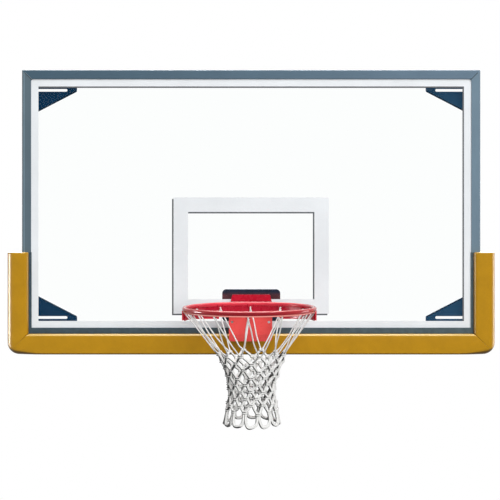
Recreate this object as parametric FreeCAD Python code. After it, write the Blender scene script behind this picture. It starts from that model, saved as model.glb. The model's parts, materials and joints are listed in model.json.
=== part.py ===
import FreeCAD
import Part
import math
import os

from FreeCAD import Vector

# Framed glass backboard with a breakaway goal, a net and edge padding.
# Millimetres, +Z up, +Y towards the wall, play side at -Y.
# The origin is the centre of the four mounting slots, on the rear plane.

# Board and frame rails
BOARD_W = 1828.8
BOARD_H = 1066.8
FRAME_FACE = 36.5
FRAME_WALL = 3.0
FRAME_EDGE_R = 6.0
FRAME_CORNER_R = 10.0
BOX_DEPTH = 30.0
KEY_LEG = 90.0
KEY_CLEAR = 0.3

# Glass, its rubber channel and the printed stripes
GLASS_T = 12.7
SEAL_T = 2.0
SEAL_SETBACK = 1.0
SEAL_FIT = 0.05
PRINT_T = 0.4
BORDER_W = 29.0
TARGET_W = 620.0
TARGET_H = 464.0
TARGET_BAND = 58.0

# Corner gussets and their mounting slots
GUSSET_T = 5.0
GUSSET_L = 176.0
GUSSET_H = 136.0
GUSSET_TIP = 45.0
GUSSET_TIP_R = 8.0
GUSSET_LEG = 26.0
SLOT_FROM_SIDE = 114.3
SLOT_FROM_EDGE = 76.2
SLOT_LENGTH = 120.0
SLOT_R = 5.5
SCREW_R = 3.0
SCREW_CLEAR = 0.3
SCREW_HEAD_R = 5.5
SCREW_HEAD_H = 4.0
SCREW_TAIL = 6.0
SCREW_MARGIN = 20.0

# Edge padding
PAD_SIDE_T = 57.0
PAD_BOTTOM_T = 66.0
PAD_FRONT_T = 25.0
PAD_SIDE_LIP = 28.5
PAD_BOTTOM_LIP = 16.0
PAD_LEG_H = 340.0
PAD_CORNER_R = 48.0
PAD_EDGE_R = 14.0
PAD_LIP_R = 9.0
PAD_REAR_R = 6.0
PAD_CLEAR = 0.3
STRIP_T = 4.0
STRIP_H = 18.0
STRIP_INSET = 60.0
PAD_SCREW_FIRST = 40.0
BOTTOM_SCREW_PAIRS = 2

# Ring and net
RING_ABOVE_EDGE = 152.4
RING_GAP = 152.4
RING_INNER_D = 457.2
ROD_D = 16.0
BRACE_H = 38.0
BRACE_T = 4.8
BRACE_END_SLOPE = 15.0
WELD_GAP = 0.05
LOOP_COUNT = 12
LOOP_WIRE_R = 2.0
LOOP_HALF_W = 11.0
LOOP_DROP = 24.0
LOOP_INSET = 7.1
CORD_R = 4.5
CORD_SIDES = 6
NET_HALF_ROWS = 8
NET_KNOT_DROP = 151.0
NET_NECK_DROP = 314.0
NET_ROW_END_DROP = 367.0
NET_FOOT_DROP = 424.0
NET_KNOT_R = 116.0
NET_NECK_R = 81.5
NET_FOOT_R = 96.0
NET_LOOP_STEPS = 4
NET_GAP = 0.15
NET_SEAT = 0.3

# Goal clamp through the glass
PLATE_W = 165.0
PLATE_T = 6.0
BASE_ABOVE_RING = 19.0
BASE_BELOW_RING = 100.0
BASE_CHAMFER = 30.0
BASE_TAPER = 7.5
BASE_SHOULDER = 30.0
BASE_TOP_R = 5.0
GASKET_T = 3.0
REAR_W = 232.0
REAR_T = 8.0
REAR_ABOVE_RING = 39.0
REAR_BELOW_RING = 89.0
REAR_R = 16.0
BOLT_SPACING_X = 127.0
BOLT_SPACING_Z = 50.8
BOLT_BELOW_RING = 20.0
BOLT_R = 6.0
BOLT_CLEAR = 0.3
BOLT_HEAD_AF = 18.0
BOLT_HEAD_H = 7.5
BOLT_TAIL = 3.0
NUT_H = 10.0
NUT_CLEAR = 0.1
WASHER_R = 11.5
WASHER_T = 2.5
GROMMET_WALL = 4.0
GROMMET_CLEAR = 0.2

# Breakaway hinge and spring
PIVOT_G = 45.0
PIVOT_DROP = 29.0
PIN_R = 8.0
RUN_CLEAR = 0.05
CHEEK_X = 44.0
CHEEK_T = 6.0
CHEEK_FOOT_DROP = 64.0
LUG_GAP = 0.5
LUG_T = 6.0
LUG_FOOT = 18.0
BUSH_WALL = 3.0
PIN_WASHER_R = 13.0
PIN_WASHER_T = 1.5
CLIP_R = 11.0
CLIP_T = 1.5
CLIP_GROOVE = 1.0
PIN_TAIL = 3.0
STOP_GAP = 0.3
TOP_W = 160.0
TOP_T = 6.0
TOP_DROP = 7.0
TOP_REAR_G = 22.0
FRONT_W = 167.0
FRONT_T = 6.0
FRONT_BEND_DROP = 127.0
FRONT_END_DROP = 154.0
FRONT_LIP_BACK = 9.0
FRONT_CORNER_R = 10.0
FRONT_HOLE_R = 5.0
FRONT_HOLE_X = 71.0
FRONT_HOLE_DROP = 79.0
BRACE_GAP = 0.3
SPRING_DROP = 76.0
SPRING_R = 17.0
SPRING_WIRE_R = 3.0
SPRING_TURNS = 8
SPRING_SEAT_GAP = 0.2
SEAT_RIM = 1.5
SEAT_T = 4.0
SPIGOT_L = 12.0
SPIGOT_CLEAR = 0.6

# Derived places
HALF_W = BOARD_W / 2
HALF_H = BOARD_H / 2
POCKET = 2 * SEAL_T + GLASS_T
FRAME_DEPTH = BOX_DEPTH + POCKET + FRAME_WALL
GLASS_REAR = -(BOX_DEPTH + SEAL_T)
GLASS_FRONT = GLASS_REAR - GLASS_T
SCREW_Y = -BOX_DEPTH / 2
CORNER_X = HALF_W - FRAME_FACE
CORNER_Z = HALF_H - FRAME_FACE
RING_TOP = -HALF_H + RING_ABOVE_EDGE
ROD_R = ROD_D / 2
ROD_Z = RING_TOP - ROD_R
RING_R = RING_INNER_D / 2 + ROD_R
RING_G = RING_GAP + RING_INNER_D / 2
RING_CENTRE = Vector(0, GLASS_FRONT - RING_G, ROD_Z)
GASKET_G = PRINT_T
BASE_G = GASKET_G + GASKET_T
BASE_FRONT_G = BASE_G + PLATE_T
FRONT_G1 = RING_G - RING_R - BRACE_T / 2 - BRACE_GAP
FRONT_G0 = FRONT_G1 - FRONT_T
PIVOT_Z = RING_TOP - PIVOT_DROP
TOP_UNDER_Z = RING_TOP - TOP_DROP - TOP_T
LUG_X = CHEEK_X + CHEEK_T + LUG_GAP
PAD_FRONT_Y = -FRAME_DEPTH - PAD_CLEAR - PAD_FRONT_T
PAD_TOP_Z = -HALF_H + PAD_LEG_H
SPRING_Z = RING_TOP - SPRING_DROP


def at_g(g):
    """Y of a point that stands g in front of the glass."""
    return GLASS_FRONT - g


def box(x0, x1, y0, y1, z0, z1):
    return Part.makeBox(x1 - x0, y1 - y0, z1 - z0, Vector(x0, y0, z0))


def rounded_wire(points, radii=None):
    """Closed outline through the points, each corner rounded by its own radius."""
    count = len(points)
    radii = radii or [0.0] * count
    corners = []
    for i, point in enumerate(points):
        to_last = (points[i - 1] - point).normalize()
        to_next = (points[(i + 1) % count] - point).normalize()
        if radii[i] <= 0:
            corners.append((point, None, point))
            continue
        half = to_last.getAngle(to_next) / 2
        reach = radii[i] / math.tan(half)
        bisector = (to_last + to_next).normalize()
        middle = point + bisector * (radii[i] / math.sin(half) - radii[i])
        corners.append((point + to_last * reach, middle, point + to_next * reach))
    edges = []
    for i, (start, middle, end) in enumerate(corners):
        if middle:
            edges.append(Part.Arc(start, middle, end).toShape())
        edges.append(Part.LineSegment(end, corners[(i + 1) % count][0]).toShape())
    return Part.Wire(edges)


def plate_xz(points, y0, y1, radii=None):
    outline = rounded_wire([Vector(x, y0, z) for x, z in points], radii)
    return Part.Face(outline).extrude(Vector(0, y1 - y0, 0))


def plate_gz(points, x0, x1, radii=None):
    """Plate on edge: points are (distance in front of the glass, height)."""
    outline = rounded_wire([Vector(x0, at_g(g), z) for g, z in points], radii)
    return Part.Face(outline).extrude(Vector(x1 - x0, 0, 0))


def rod_y(radius, y0, y1, x, z):
    return Part.makeCylinder(radius, y1 - y0, Vector(x, y0, z), Vector(0, 1, 0))


def rod_x(radius, x0, x1, y, z):
    return Part.makeCylinder(radius, x1 - x0, Vector(x0, y, z), Vector(1, 0, 0))


def hexagon_y(across_flats, y0, y1, x, z):
    reach = across_flats / math.sqrt(3)
    points = []
    for i in range(6):
        turn = math.radians(60 * i)
        points.append((x + reach * math.cos(turn), z + reach * math.sin(turn)))
    return plate_xz(points, y0, y1)


def mirror_x(shape):
    return shape.mirror(Vector(0, 0, 0), Vector(1, 0, 0))


def mirror_z(shape):
    return shape.mirror(Vector(0, 0, 0), Vector(0, 0, 1))


def save(name, *shapes):
    """Write one node; every solid in it has to be sound."""
    group = shapes[0] if len(shapes) == 1 else Part.makeCompound(list(shapes))
    if not group.Solids or not all(s.isValid() and s.Volume > 0 for s in group.Solids):
        raise ValueError("unsound solid in " + name)
    group.exportStep("parts/" + name + ".step")


# Frame

def rail_face(wires, length):
    """Section drawn as (depth in from the board's edge, y), stood at one end of a rail."""
    start = -length / 2
    placed = []
    for points, radii in wires:
        placed.append(rounded_wire([Vector(start, y, -u) for u, y in points], radii))
    return Part.makeFace(placed, "Part::FaceMakerBullseye")


def mitred(wires, length, webs=()):
    """Straight rail under z = 0 with any corner webs, cut at 45 degrees at both ends."""
    bar = rail_face(wires, length).extrude(Vector(length, 0, 0))
    if webs:
        bar = bar.fuse(webs).removeSplitter()
    low = FRAME_FACE + FRAME_CORNER_R
    half = length / 2
    ends = [(-half - FRAME_WALL, FRAME_WALL), (half + FRAME_WALL, FRAME_WALL), (half - low, -low),
            (-half + low, -low)]
    return bar.common(plate_xz(ends, -FRAME_DEPTH - FRAME_WALL, FRAME_WALL))


def around_board(make):
    """The four sides from one recipe: top, right, bottom and left, in that order."""
    sides = []
    for turn, length, out in ((0, BOARD_W, HALF_H), (90, BOARD_H, HALF_W),
                              (180, BOARD_W, HALF_H), (270, BOARD_H, HALF_W)):
        side = make(length)
        side.translate(Vector(0, 0, out))
        side.rotate(Vector(0, 0, 0), Vector(0, 1, 0), turn)
        sides.append(side)
    return sides


def frame_rail(length):
    pocket_front = -FRAME_DEPTH + FRAME_WALL
    outline = [(0, 0), (FRAME_FACE, 0), (FRAME_FACE, -BOX_DEPTH), (FRAME_WALL, -BOX_DEPTH),
               (FRAME_WALL, pocket_front), (FRAME_FACE, pocket_front),
               (FRAME_FACE, -FRAME_DEPTH), (0, -FRAME_DEPTH)]
    rounds = [FRAME_EDGE_R, 0, 0, 0, 0, 0, 0, FRAME_EDGE_R]
    inner = FRAME_FACE - FRAME_WALL
    hollow = [(FRAME_WALL, -FRAME_WALL), (inner, -FRAME_WALL),
              (inner, -BOX_DEPTH + FRAME_WALL), (FRAME_WALL, -BOX_DEPTH + FRAME_WALL)]
    right = corner_web(length)
    return mitred([(outline, rounds), (hollow, None)], length, [right, mirror_x(right)])


def corner_web(length):
    """Web that rounds the front flange's inner corner at the right end of a rail."""
    x = length / 2 - FRAME_FACE
    r = FRAME_CORNER_R
    front = -FRAME_DEPTH
    patch = box(x - r, x, front, front + FRAME_WALL, -FRAME_FACE - r, -FRAME_FACE)
    return patch.cut(rod_y(r, front, front + FRAME_WALL, x - r, -FRAME_FACE - r))


def seal_strip(length):
    lip = FRAME_FACE - SEAL_SETBACK
    base = FRAME_WALL + SEAL_T
    front = GLASS_FRONT - SEAL_T
    rear = GLASS_REAR + SEAL_T
    glass_rear = GLASS_REAR + SEAL_FIT
    glass_front = GLASS_FRONT - SEAL_FIT
    outline = [(FRAME_WALL, rear), (lip, rear), (lip, glass_rear), (base, glass_rear),
               (base, glass_front), (lip, glass_front), (lip, front), (FRAME_WALL, front)]
    return mitred([(outline, None)], length)


def corner_key():
    """L key that fills the hollow of two rails at the upper right corner."""
    near = FRAME_WALL + KEY_CLEAR
    far = FRAME_FACE - FRAME_WALL - KEY_CLEAR
    points = [(HALF_W - near, HALF_H - near), (HALF_W - near - KEY_LEG, HALF_H - near),
              (HALF_W - near - KEY_LEG, HALF_H - far), (HALF_W - far, HALF_H - far),
              (HALF_W - far, HALF_H - near - KEY_LEG), (HALF_W - near, HALF_H - near - KEY_LEG)]
    return plate_xz(points, -BOX_DEPTH + near, -near)


def four_corners(shape):
    """Upper left, upper right, lower left and lower right copies of an upper right piece."""
    left = mirror_x(shape)
    return [left, shape, mirror_z(left), mirror_z(shape)]


# Gussets

def gusset_screw_places():
    """Distances from the inner corner of the frame, clear of the corner key, on both legs."""
    first = KEY_LEG - FRAME_FACE + 2 * FRAME_WALL + SCREW_MARGIN
    return [first, GUSSET_L - SCREW_MARGIN], [first, GUSSET_H - SCREW_MARGIN]


def corner_screws(radius, head_radius, head, tail):
    """Screws of one upper right gusset, running from its legs into the frame."""
    along_top, along_side = gusset_screw_places()
    places = []
    for d in along_top:
        places.append((Vector(CORNER_X - d, SCREW_Y, CORNER_Z - GUSSET_T), Vector(0, 0, 1)))
    for d in along_side:
        places.append((Vector(CORNER_X - GUSSET_T, SCREW_Y, CORNER_Z - d), Vector(1, 0, 0)))
    screws = []
    for seat, way in places:
        screw = Part.makeCylinder(radius, GUSSET_T + FRAME_WALL + tail, seat, way)
        if head:
            screw = screw.fuse(Part.makeCylinder(head_radius, head, seat - way * head, way))
            screw = screw.removeSplitter()
        screws.append(screw)
    return screws


def gusset():
    """Upper right gusset: a plate with the slot and two legs against the frame."""
    tip_x = CORNER_X - GUSSET_L
    points = [(tip_x, CORNER_Z), (CORNER_X, CORNER_Z), (CORNER_X, CORNER_Z - GUSSET_H),
              (tip_x, CORNER_Z - GUSSET_TIP)]
    plate = plate_xz(points, -GUSSET_T, 0, [0, 0, 0, GUSSET_TIP_R])
    top_leg = box(tip_x, CORNER_X, -GUSSET_LEG, 0, CORNER_Z - GUSSET_T, CORNER_Z)
    side_leg = box(CORNER_X - GUSSET_T, CORNER_X, -GUSSET_LEG, 0, CORNER_Z - GUSSET_H, CORNER_Z)
    body = plate.fuse([top_leg, side_leg]).removeSplitter()
    slot_x = HALF_W - SLOT_FROM_SIDE
    slot_z = HALF_H - SLOT_FROM_EDGE
    reach = SLOT_LENGTH / 2
    ends = [(slot_x - reach, slot_z - SLOT_R), (slot_x + reach, slot_z - SLOT_R),
            (slot_x + reach, slot_z + SLOT_R), (slot_x - reach, slot_z + SLOT_R)]
    slot = plate_xz(ends, -2 * GUSSET_T, GUSSET_T, [SLOT_R * 0.999] * 4)
    holes = corner_screws(SCREW_R + SCREW_CLEAR, 0, 0, SCREW_TAIL)
    return body.cut([slot] + holes)


# Edge padding

def pad_run(lip, thickness, length):
    """Straight padding under z = 0 of a rail: a front lip and an outer body."""
    inner = -FRAME_DEPTH - PAD_CLEAR
    outline = [(-thickness, 0), (-PAD_CLEAR, 0), (-PAD_CLEAR, inner), (lip, inner),
               (lip, PAD_FRONT_Y), (-thickness, PAD_FRONT_Y)]
    rounds = [PAD_REAR_R, 0, 0, PAD_REAR_R / 2, PAD_LIP_R, PAD_EDGE_R]
    return rail_face([(outline, rounds)], length).extrude(Vector(length, 0, 0))


def pad_groove(length):
    """Room for the metal strip between padding and frame."""
    deep = STRIP_T + PAD_CLEAR
    reach = STRIP_H / 2 + PAD_CLEAR
    half = length / 2 + PAD_CLEAR
    return box(-half, half, SCREW_Y - reach, SCREW_Y + reach, -PAD_CLEAR, deep)


def pad_strip(length):
    return box(-length / 2, length / 2, SCREW_Y - STRIP_H / 2, SCREW_Y + STRIP_H / 2, 0, STRIP_T)


def to_right(shape, z):
    """Turn a piece made along X under z = 0 into one on the right side, centred at height z."""
    shape.rotate(Vector(0, 0, 0), Vector(0, 1, 0), 90)
    shape.translate(Vector(HALF_W, 0, z))
    return shape


def to_bottom(shape, x):
    shape.rotate(Vector(0, 0, 0), Vector(0, 1, 0), 180)
    shape.translate(Vector(x, 0, -HALF_H))
    return shape


def pad_outline():
    """Outer shape of the whole padding, seen from the front."""
    x = HALF_W + PAD_SIDE_T
    low = -HALF_H - PAD_BOTTOM_T
    points = [(-x, PAD_TOP_Z), (-x, low), (x, low), (x, PAD_TOP_Z)]
    rounds = [PAD_EDGE_R, PAD_CORNER_R, PAD_CORNER_R, PAD_EDGE_R]
    return plate_xz(points, PAD_FRONT_Y, 0, rounds)


def pad_halves(screw_holes):
    """Right leg and right half of the bottom run, parted along the slanted crease."""
    inner_x = HALF_W - PAD_SIDE_LIP
    inner_z = -HALF_H + PAD_BOTTOM_LIP
    outer_x = HALF_W + PAD_SIDE_T
    outer_z = -HALF_H - PAD_BOTTOM_T
    run_x = outer_x - inner_x
    run_z = outer_z - inner_z
    crease_in = (inner_x - run_x, inner_z - run_z)
    crease_out = (outer_x + run_x, outer_z + run_z)
    above = [crease_in, crease_out, (crease_out[0], PAD_TOP_Z), (crease_in[0], PAD_TOP_Z)]
    below = [(PAD_CLEAR / 2, crease_in[1]), crease_in, crease_out, (PAD_CLEAR / 2, crease_out[1])]
    seam = Vector(0, 0, PAD_CLEAR)
    leg_length = PAD_LEG_H + PAD_BOTTOM_T
    leg = to_right(pad_run(PAD_SIDE_LIP, PAD_SIDE_T, leg_length), PAD_TOP_Z - leg_length / 2)
    side = plate_xz(above, PAD_FRONT_Y - PAD_CLEAR, PAD_CLEAR)
    side.translate(seam)
    run = to_bottom(pad_run(PAD_BOTTOM_LIP, PAD_BOTTOM_T, 2 * outer_x), 0)
    foot = plate_xz(below, PAD_FRONT_Y - PAD_CLEAR, PAD_CLEAR)
    outline = pad_outline()
    leg = leg.common(side).common(outline)
    run = run.common(foot).common(outline)
    strip_leg, strip_run, grooves = pad_strips()
    cutters = grooves + screw_holes
    return leg.cut(cutters), run.cut(cutters), strip_leg, strip_run


def pad_strips():
    """Strips behind the right leg and the bottom run, and the grooves that they lie in."""
    leg_length = PAD_LEG_H - STRIP_INSET - PAD_SCREW_FIRST / 2
    middle = PAD_TOP_Z - PAD_SCREW_FIRST / 2 - leg_length / 2
    run_length = BOARD_W - 2 * STRIP_INSET
    strip_leg = to_right(pad_strip(leg_length), middle)
    strip_run = to_bottom(pad_strip(run_length), 0)
    grooves = [to_right(pad_groove(leg_length), middle), to_bottom(pad_groove(run_length), 0)]
    return strip_leg, strip_run, grooves


def pad_screw_places():
    """Screws of the right leg and of the bottom run, as (head seat, direction)."""
    places = []
    gusset_end_z = -CORNER_Z + GUSSET_H
    for z in (PAD_TOP_Z - PAD_SCREW_FIRST, gusset_end_z + SCREW_MARGIN):
        places.append((Vector(CORNER_X, SCREW_Y, z), Vector(1, 0, 0)))
    pitch = (CORNER_X - GUSSET_L - SCREW_MARGIN) / (BOTTOM_SCREW_PAIRS + 0.5)
    for i in range(-BOTTOM_SCREW_PAIRS, BOTTOM_SCREW_PAIRS + 1):
        places.append((Vector(i * pitch, SCREW_Y, -CORNER_Z), Vector(0, 0, -1)))
    return places


def pad_screws(radius, head):
    length = FRAME_FACE + STRIP_T
    screws = []
    for seat, way in pad_screw_places():
        screw = Part.makeCylinder(radius, length, seat, way)
        if head:
            screw = screw.fuse(Part.makeCylinder(SCREW_HEAD_R, head, seat - way * head, way))
            screw = screw.removeSplitter()
        screws.append(screw)
        if way.x:
            screws.append(mirror_x(screw))
    return screws


# Goal clamp

def bolt_places():
    top = RING_TOP - BOLT_BELOW_RING
    half = BOLT_SPACING_X / 2
    return [(x, z) for x in (-half, half) for z in (top, top - BOLT_SPACING_Z)]


def bored(shape, radius, y0, y1):
    """The shape with a hole at each goal bolt."""
    return shape.cut([rod_y(radius, y0, y1, x, z) for x, z in bolt_places()])


def base_outline(g0, g1):
    half = PLATE_W / 2
    top = RING_TOP + BASE_ABOVE_RING
    low = RING_TOP - BASE_BELOW_RING
    points = [(-half + BASE_TAPER, top), (half - BASE_TAPER, top), (half, top - BASE_SHOULDER),
              (half, low + BASE_CHAMFER), (half - BASE_CHAMFER, low), (-half + BASE_CHAMFER, low),
              (-half, low + BASE_CHAMFER), (-half, top - BASE_SHOULDER)]
    rounds = [BASE_TOP_R, BASE_TOP_R, 0, 0, 0, 0, 0, 0]
    plate = plate_xz(points, at_g(g1), at_g(g0), rounds)
    return bored(plate, BOLT_R + BOLT_CLEAR, at_g(g1), at_g(g0))


def rear_outline(y0, y1):
    half = REAR_W / 2
    top = RING_TOP + REAR_ABOVE_RING
    low = RING_TOP - REAR_BELOW_RING
    points = [(-half, low), (half, low), (half, top), (-half, top)]
    plate = plate_xz(points, y0, y1, [REAR_R] * 4)
    return bored(plate, BOLT_R + BOLT_CLEAR, y0, y1)


def ring_y(outer, inner, y0, y1, x, z):
    return rod_y(outer, y0, y1, x, z).cut(rod_y(inner, y0, y1, x, z))


def goal_fasteners():
    """Grommets, washers, bolts and nuts at the four goal bolts."""
    plate_rear = GLASS_REAR + GASKET_T + REAR_T
    front = at_g(BASE_FRONT_G)
    bore = BOLT_R + BOLT_CLEAR
    grommets, washers, bolts, nuts = [], [], [], []
    for x, z in bolt_places():
        grommets.append(ring_y(bore + GROMMET_WALL, bore, GLASS_FRONT, GLASS_REAR, x, z))
        washers.append(ring_y(WASHER_R, bore, front - WASHER_T, front, x, z))
        washers.append(ring_y(WASHER_R, bore, plate_rear, plate_rear + WASHER_T, x, z))
        head_seat = front - WASHER_T
        nut_seat = plate_rear + WASHER_T
        shank = rod_y(BOLT_R, head_seat, nut_seat + NUT_H + BOLT_TAIL, x, z)
        head = hexagon_y(BOLT_HEAD_AF, head_seat - BOLT_HEAD_H, head_seat, x, z)
        bolts.append(shank.fuse(head).removeSplitter())
        nut = hexagon_y(BOLT_HEAD_AF, nut_seat, nut_seat + NUT_H, x, z)
        nuts.append(nut.cut(rod_y(BOLT_R + NUT_CLEAR, nut_seat, nut_seat + NUT_H, x, z)))
    return grommets, washers, bolts, nuts


# Breakaway hinge

def pivot_bore(radius):
    reach = LUG_X + LUG_T + PIN_TAIL
    return rod_x(radius, -reach, reach, at_g(PIVOT_G), PIVOT_Z)


def hinge_cheek():
    """Fixed plate on the base plate; its top edge behind the pin is the goal's rest stop."""
    stop_z = TOP_UNDER_Z - STOP_GAP
    radius = stop_z - PIVOT_Z
    foot_z = RING_TOP - CHEEK_FOOT_DROP
    top = Vector(CHEEK_X, at_g(PIVOT_G), stop_z)
    nose = Vector(CHEEK_X, at_g(PIVOT_G + radius), PIVOT_Z)
    low = Vector(CHEEK_X, at_g(PIVOT_G), PIVOT_Z - radius)
    root_top = Vector(CHEEK_X, at_g(BASE_FRONT_G), stop_z)
    root_low = Vector(CHEEK_X, at_g(BASE_FRONT_G), foot_z)
    edges = [Part.LineSegment(root_top, top), Part.Arc(top, nose, low),
             Part.LineSegment(low, root_low), Part.LineSegment(root_low, root_top)]
    outline = Part.Wire([edge.toShape() for edge in edges])
    plate = Part.Face(outline).extrude(Vector(CHEEK_T, 0, 0))
    return plate.cut(pivot_bore(PIN_R + RUN_CLEAR))


def hinge_lug():
    """Moving plate between the top plate and the front plate, with the bush at the pin."""
    radius = TOP_UNDER_Z - PIVOT_Z
    low = RING_TOP - FRONT_BEND_DROP
    back = Vector(LUG_X, at_g(PIVOT_G - radius), PIVOT_Z)
    slant = radius / math.sqrt(2)
    heel = Vector(LUG_X, at_g(PIVOT_G - slant), PIVOT_Z - slant)
    under = Vector(LUG_X, at_g(PIVOT_G), PIVOT_Z - radius)
    corners = [Vector(LUG_X, at_g(FRONT_G0 - LUG_FOOT), low), Vector(LUG_X, at_g(FRONT_G0), low),
               Vector(LUG_X, at_g(FRONT_G0), TOP_UNDER_Z),
               Vector(LUG_X, at_g(PIVOT_G - radius), TOP_UNDER_Z)]
    edges = [Part.Arc(back, heel, under).toShape()]
    last = under
    for corner in corners + [back]:
        edges.append(Part.LineSegment(last, corner).toShape())
        last = corner
    plate = Part.Face(Part.Wire(edges)).extrude(Vector(LUG_T, 0, 0))
    return plate.cut(pivot_bore(PIN_R + RUN_CLEAR + BUSH_WALL + RUN_CLEAR))


def tube_x(outer, inner, x0, x1):
    y = at_g(PIVOT_G)
    return rod_x(outer, x0, x1, y, PIVOT_Z).cut(rod_x(inner, x0, x1, y, PIVOT_Z))


def pivot_pieces():
    """Pin with clip grooves, bushes, washers and clips, one of each small piece per side."""
    lug_out = LUG_X + LUG_T
    washer_in = lug_out + LUG_GAP
    clip_in = washer_in + PIN_WASHER_T + RUN_CLEAR
    clip_out = clip_in + CLIP_T
    end = clip_out + PIN_TAIL
    groove_r = PIN_R - CLIP_GROOVE
    bore = PIN_R + RUN_CLEAR
    pin = rod_x(PIN_R, -end, end, at_g(PIVOT_G), PIVOT_Z)
    groove = tube_x(PIN_R + CLIP_GROOVE, groove_r, clip_in, clip_out)
    pin = pin.cut([groove, mirror_x(groove)])
    bush = tube_x(bore + BUSH_WALL, bore, LUG_X, lug_out)
    washer = tube_x(PIN_WASHER_R, bore, washer_in, washer_in + PIN_WASHER_T)
    clip = tube_x(CLIP_R, groove_r + RUN_CLEAR, clip_in + RUN_CLEAR, clip_out - RUN_CLEAR)
    return pin, [bush, mirror_x(bush)], [washer, mirror_x(washer)], [clip, mirror_x(clip)]


def rod_ring(extra=0.0):
    return Part.makeTorus(RING_R, ROD_R + extra, RING_CENTRE, Vector(0, 0, 1))


def top_plate():
    """Level plate from behind the pin to the ring, shaped to the rod."""
    half = TOP_W / 2
    front = at_g(RING_G - math.sqrt(RING_R ** 2 - half ** 2))
    plate = box(-half, half, front, at_g(TOP_REAR_G), TOP_UNDER_Z, RING_TOP - TOP_DROP)
    inside = Part.makeCylinder(RING_R, 4 * ROD_D, RING_CENTRE - Vector(0, 0, 2 * ROD_D))
    return plate.cut([inside, rod_ring(WELD_GAP)])


def front_plate():
    """Bent plate below the ring that takes the spring and hides the hinge."""
    top = RING_TOP - ROD_D - BRACE_GAP
    bend = RING_TOP - FRONT_BEND_DROP
    low = RING_TOP - FRONT_END_DROP
    side = [(FRONT_G0, top), (FRONT_G1, top), (FRONT_G1, bend), (FRONT_G1 - FRONT_LIP_BACK, low),
            (FRONT_G0 - FRONT_LIP_BACK, low), (FRONT_G0, bend)]
    half = FRONT_W / 2
    plate = plate_gz(side, -half, half)
    face = [(-half, low), (half, low), (half, top), (-half, top)]
    rounds = [FRONT_CORNER_R, FRONT_CORNER_R, 0, 0]
    y0 = at_g(FRONT_G1 + FRONT_T)
    y1 = at_g(FRONT_G0 - FRONT_T - FRONT_LIP_BACK)
    plate = plate.common(plate_xz(face, y0, y1, rounds))
    z = RING_TOP - FRONT_HOLE_DROP
    return plate.cut([rod_y(FRONT_HOLE_R, y0, y1, x, z) for x in (-FRONT_HOLE_X, FRONT_HOLE_X)])


# Spring

def biarc(p0, t0, p1, t1):
    """Two tangent arcs that leave p0 along t0 and reach p1 along t1."""
    chord = p1 - p0
    along = chord.dot(t0 + t1)
    turn = 2 * (1 - t0.dot(t1))
    reach = (math.sqrt(along ** 2 + turn * chord.dot(chord)) - along) / turn
    q0 = p0 + t0 * reach
    q1 = p1 - t1 * reach
    joint = (q0 + q1) * 0.5
    return [tangent_arc(p0, q0, joint), tangent_arc(joint, q1, p1)]


def tangent_arc(start, corner, end):
    """Arc from start to end whose end tangents cross at the corner."""
    middle = (start + end) * 0.5
    angle = (corner - start).getAngle(end - start)
    share = math.tan(angle / 2) / math.tan(angle)
    return Part.Arc(start, middle + (corner - middle) * share, end).toShape()


def spring():
    """Coil spring between its seat and its cup, along Y."""
    room = SEAT_T + SPRING_WIRE_R + SPRING_SEAT_GAP
    start_g = BASE_FRONT_G + room
    end_g = FRONT_G0 - room
    steps = 4 * SPRING_TURNS
    rise = (end_g - start_g) / steps
    slope = rise / (math.pi / 2)

    def on_helix(i):
        turn = i * math.pi / 2
        c, s = math.cos(turn), math.sin(turn)
        point = Vector(SPRING_R * c, at_g(start_g + i * rise), SPRING_Z + SPRING_R * s)
        return point, Vector(-SPRING_R * s, -slope, SPRING_R * c).normalize()

    path = []
    for i in range(steps):
        path += biarc(*on_helix(i), *on_helix(i + 1))
    point, way = on_helix(0)
    section = Part.Wire(Part.makeCircle(SPRING_WIRE_R, point, way))
    coil = Part.Wire(path).makePipeShell([section], True, False)
    print("spring: least gap between its turns", round(4 * rise - 2 * SPRING_WIRE_R, 2), "mm")
    return coil


def spring_end(g, way):
    """Round plate with a spigot inside the coil; way is +1 for the seat and -1 for the cup."""
    rim = SPRING_R + SPRING_WIRE_R + SEAT_RIM
    spigot = SPRING_R - SPRING_WIRE_R - SPIGOT_CLEAR
    start = Vector(0, at_g(g), SPRING_Z)
    out = Vector(0, -way, 0)
    disc = Part.makeCylinder(rim, SEAT_T, start, out)
    return disc.fuse(Part.makeCylinder(spigot, SEAT_T + SPIGOT_L, start, out)).removeSplitter()


# Ring and net

def ring_brace():
    """Flat band on edge under the rear half of the ring, its ends cut to a slope."""
    outer = RING_R + BRACE_T / 2
    top = RING_TOP - ROD_D - WELD_GAP
    low = top - BRACE_H
    foot = Vector(0, RING_CENTRE.y, low)
    band = Part.makeCylinder(outer, BRACE_H, foot)
    band = band.cut(Part.makeCylinder(outer - BRACE_T, BRACE_H, foot))
    centre_g = RING_G
    kept = [(centre_g, top), (centre_g - BRACE_END_SLOPE, low), (centre_g - 2 * outer, low),
            (centre_g - 2 * outer, top)]
    return band.common(plate_gz(kept, -2 * outer, 2 * outer))


def polar(radius, turn, z):
    """Point about the ring's axis; turn 0 is the play side."""
    return RING_CENTRE + Vector(radius * math.sin(turn), -radius * math.cos(turn), z - ROD_Z)


def net_loop(turn):
    """U of wire that hangs from the rod, in the upright plane along it."""
    radius = RING_R - LOOP_INSET
    along = Vector(math.cos(turn), math.sin(turn), 0)
    low = polar(radius, turn, RING_TOP - LOOP_DROP)
    centre = low + Vector(0, 0, LOOP_HALF_W)
    left = centre - along * LOOP_HALF_W
    right = centre + along * LOOP_HALF_W
    up = Vector(0, 0, 1)
    outward = along.cross(up)
    section = Part.Face(Part.Wire(Part.makeCircle(LOOP_WIRE_R, left, up)))
    bend = section.revolve(centre, outward, 180)
    height = ROD_Z - centre.z
    legs = [Part.makeCylinder(LOOP_WIRE_R, height, foot, up) for foot in (left, right)]
    wire = bend.fuse(legs).removeSplitter()
    return wire.cut(rod_ring(WELD_GAP))


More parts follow.
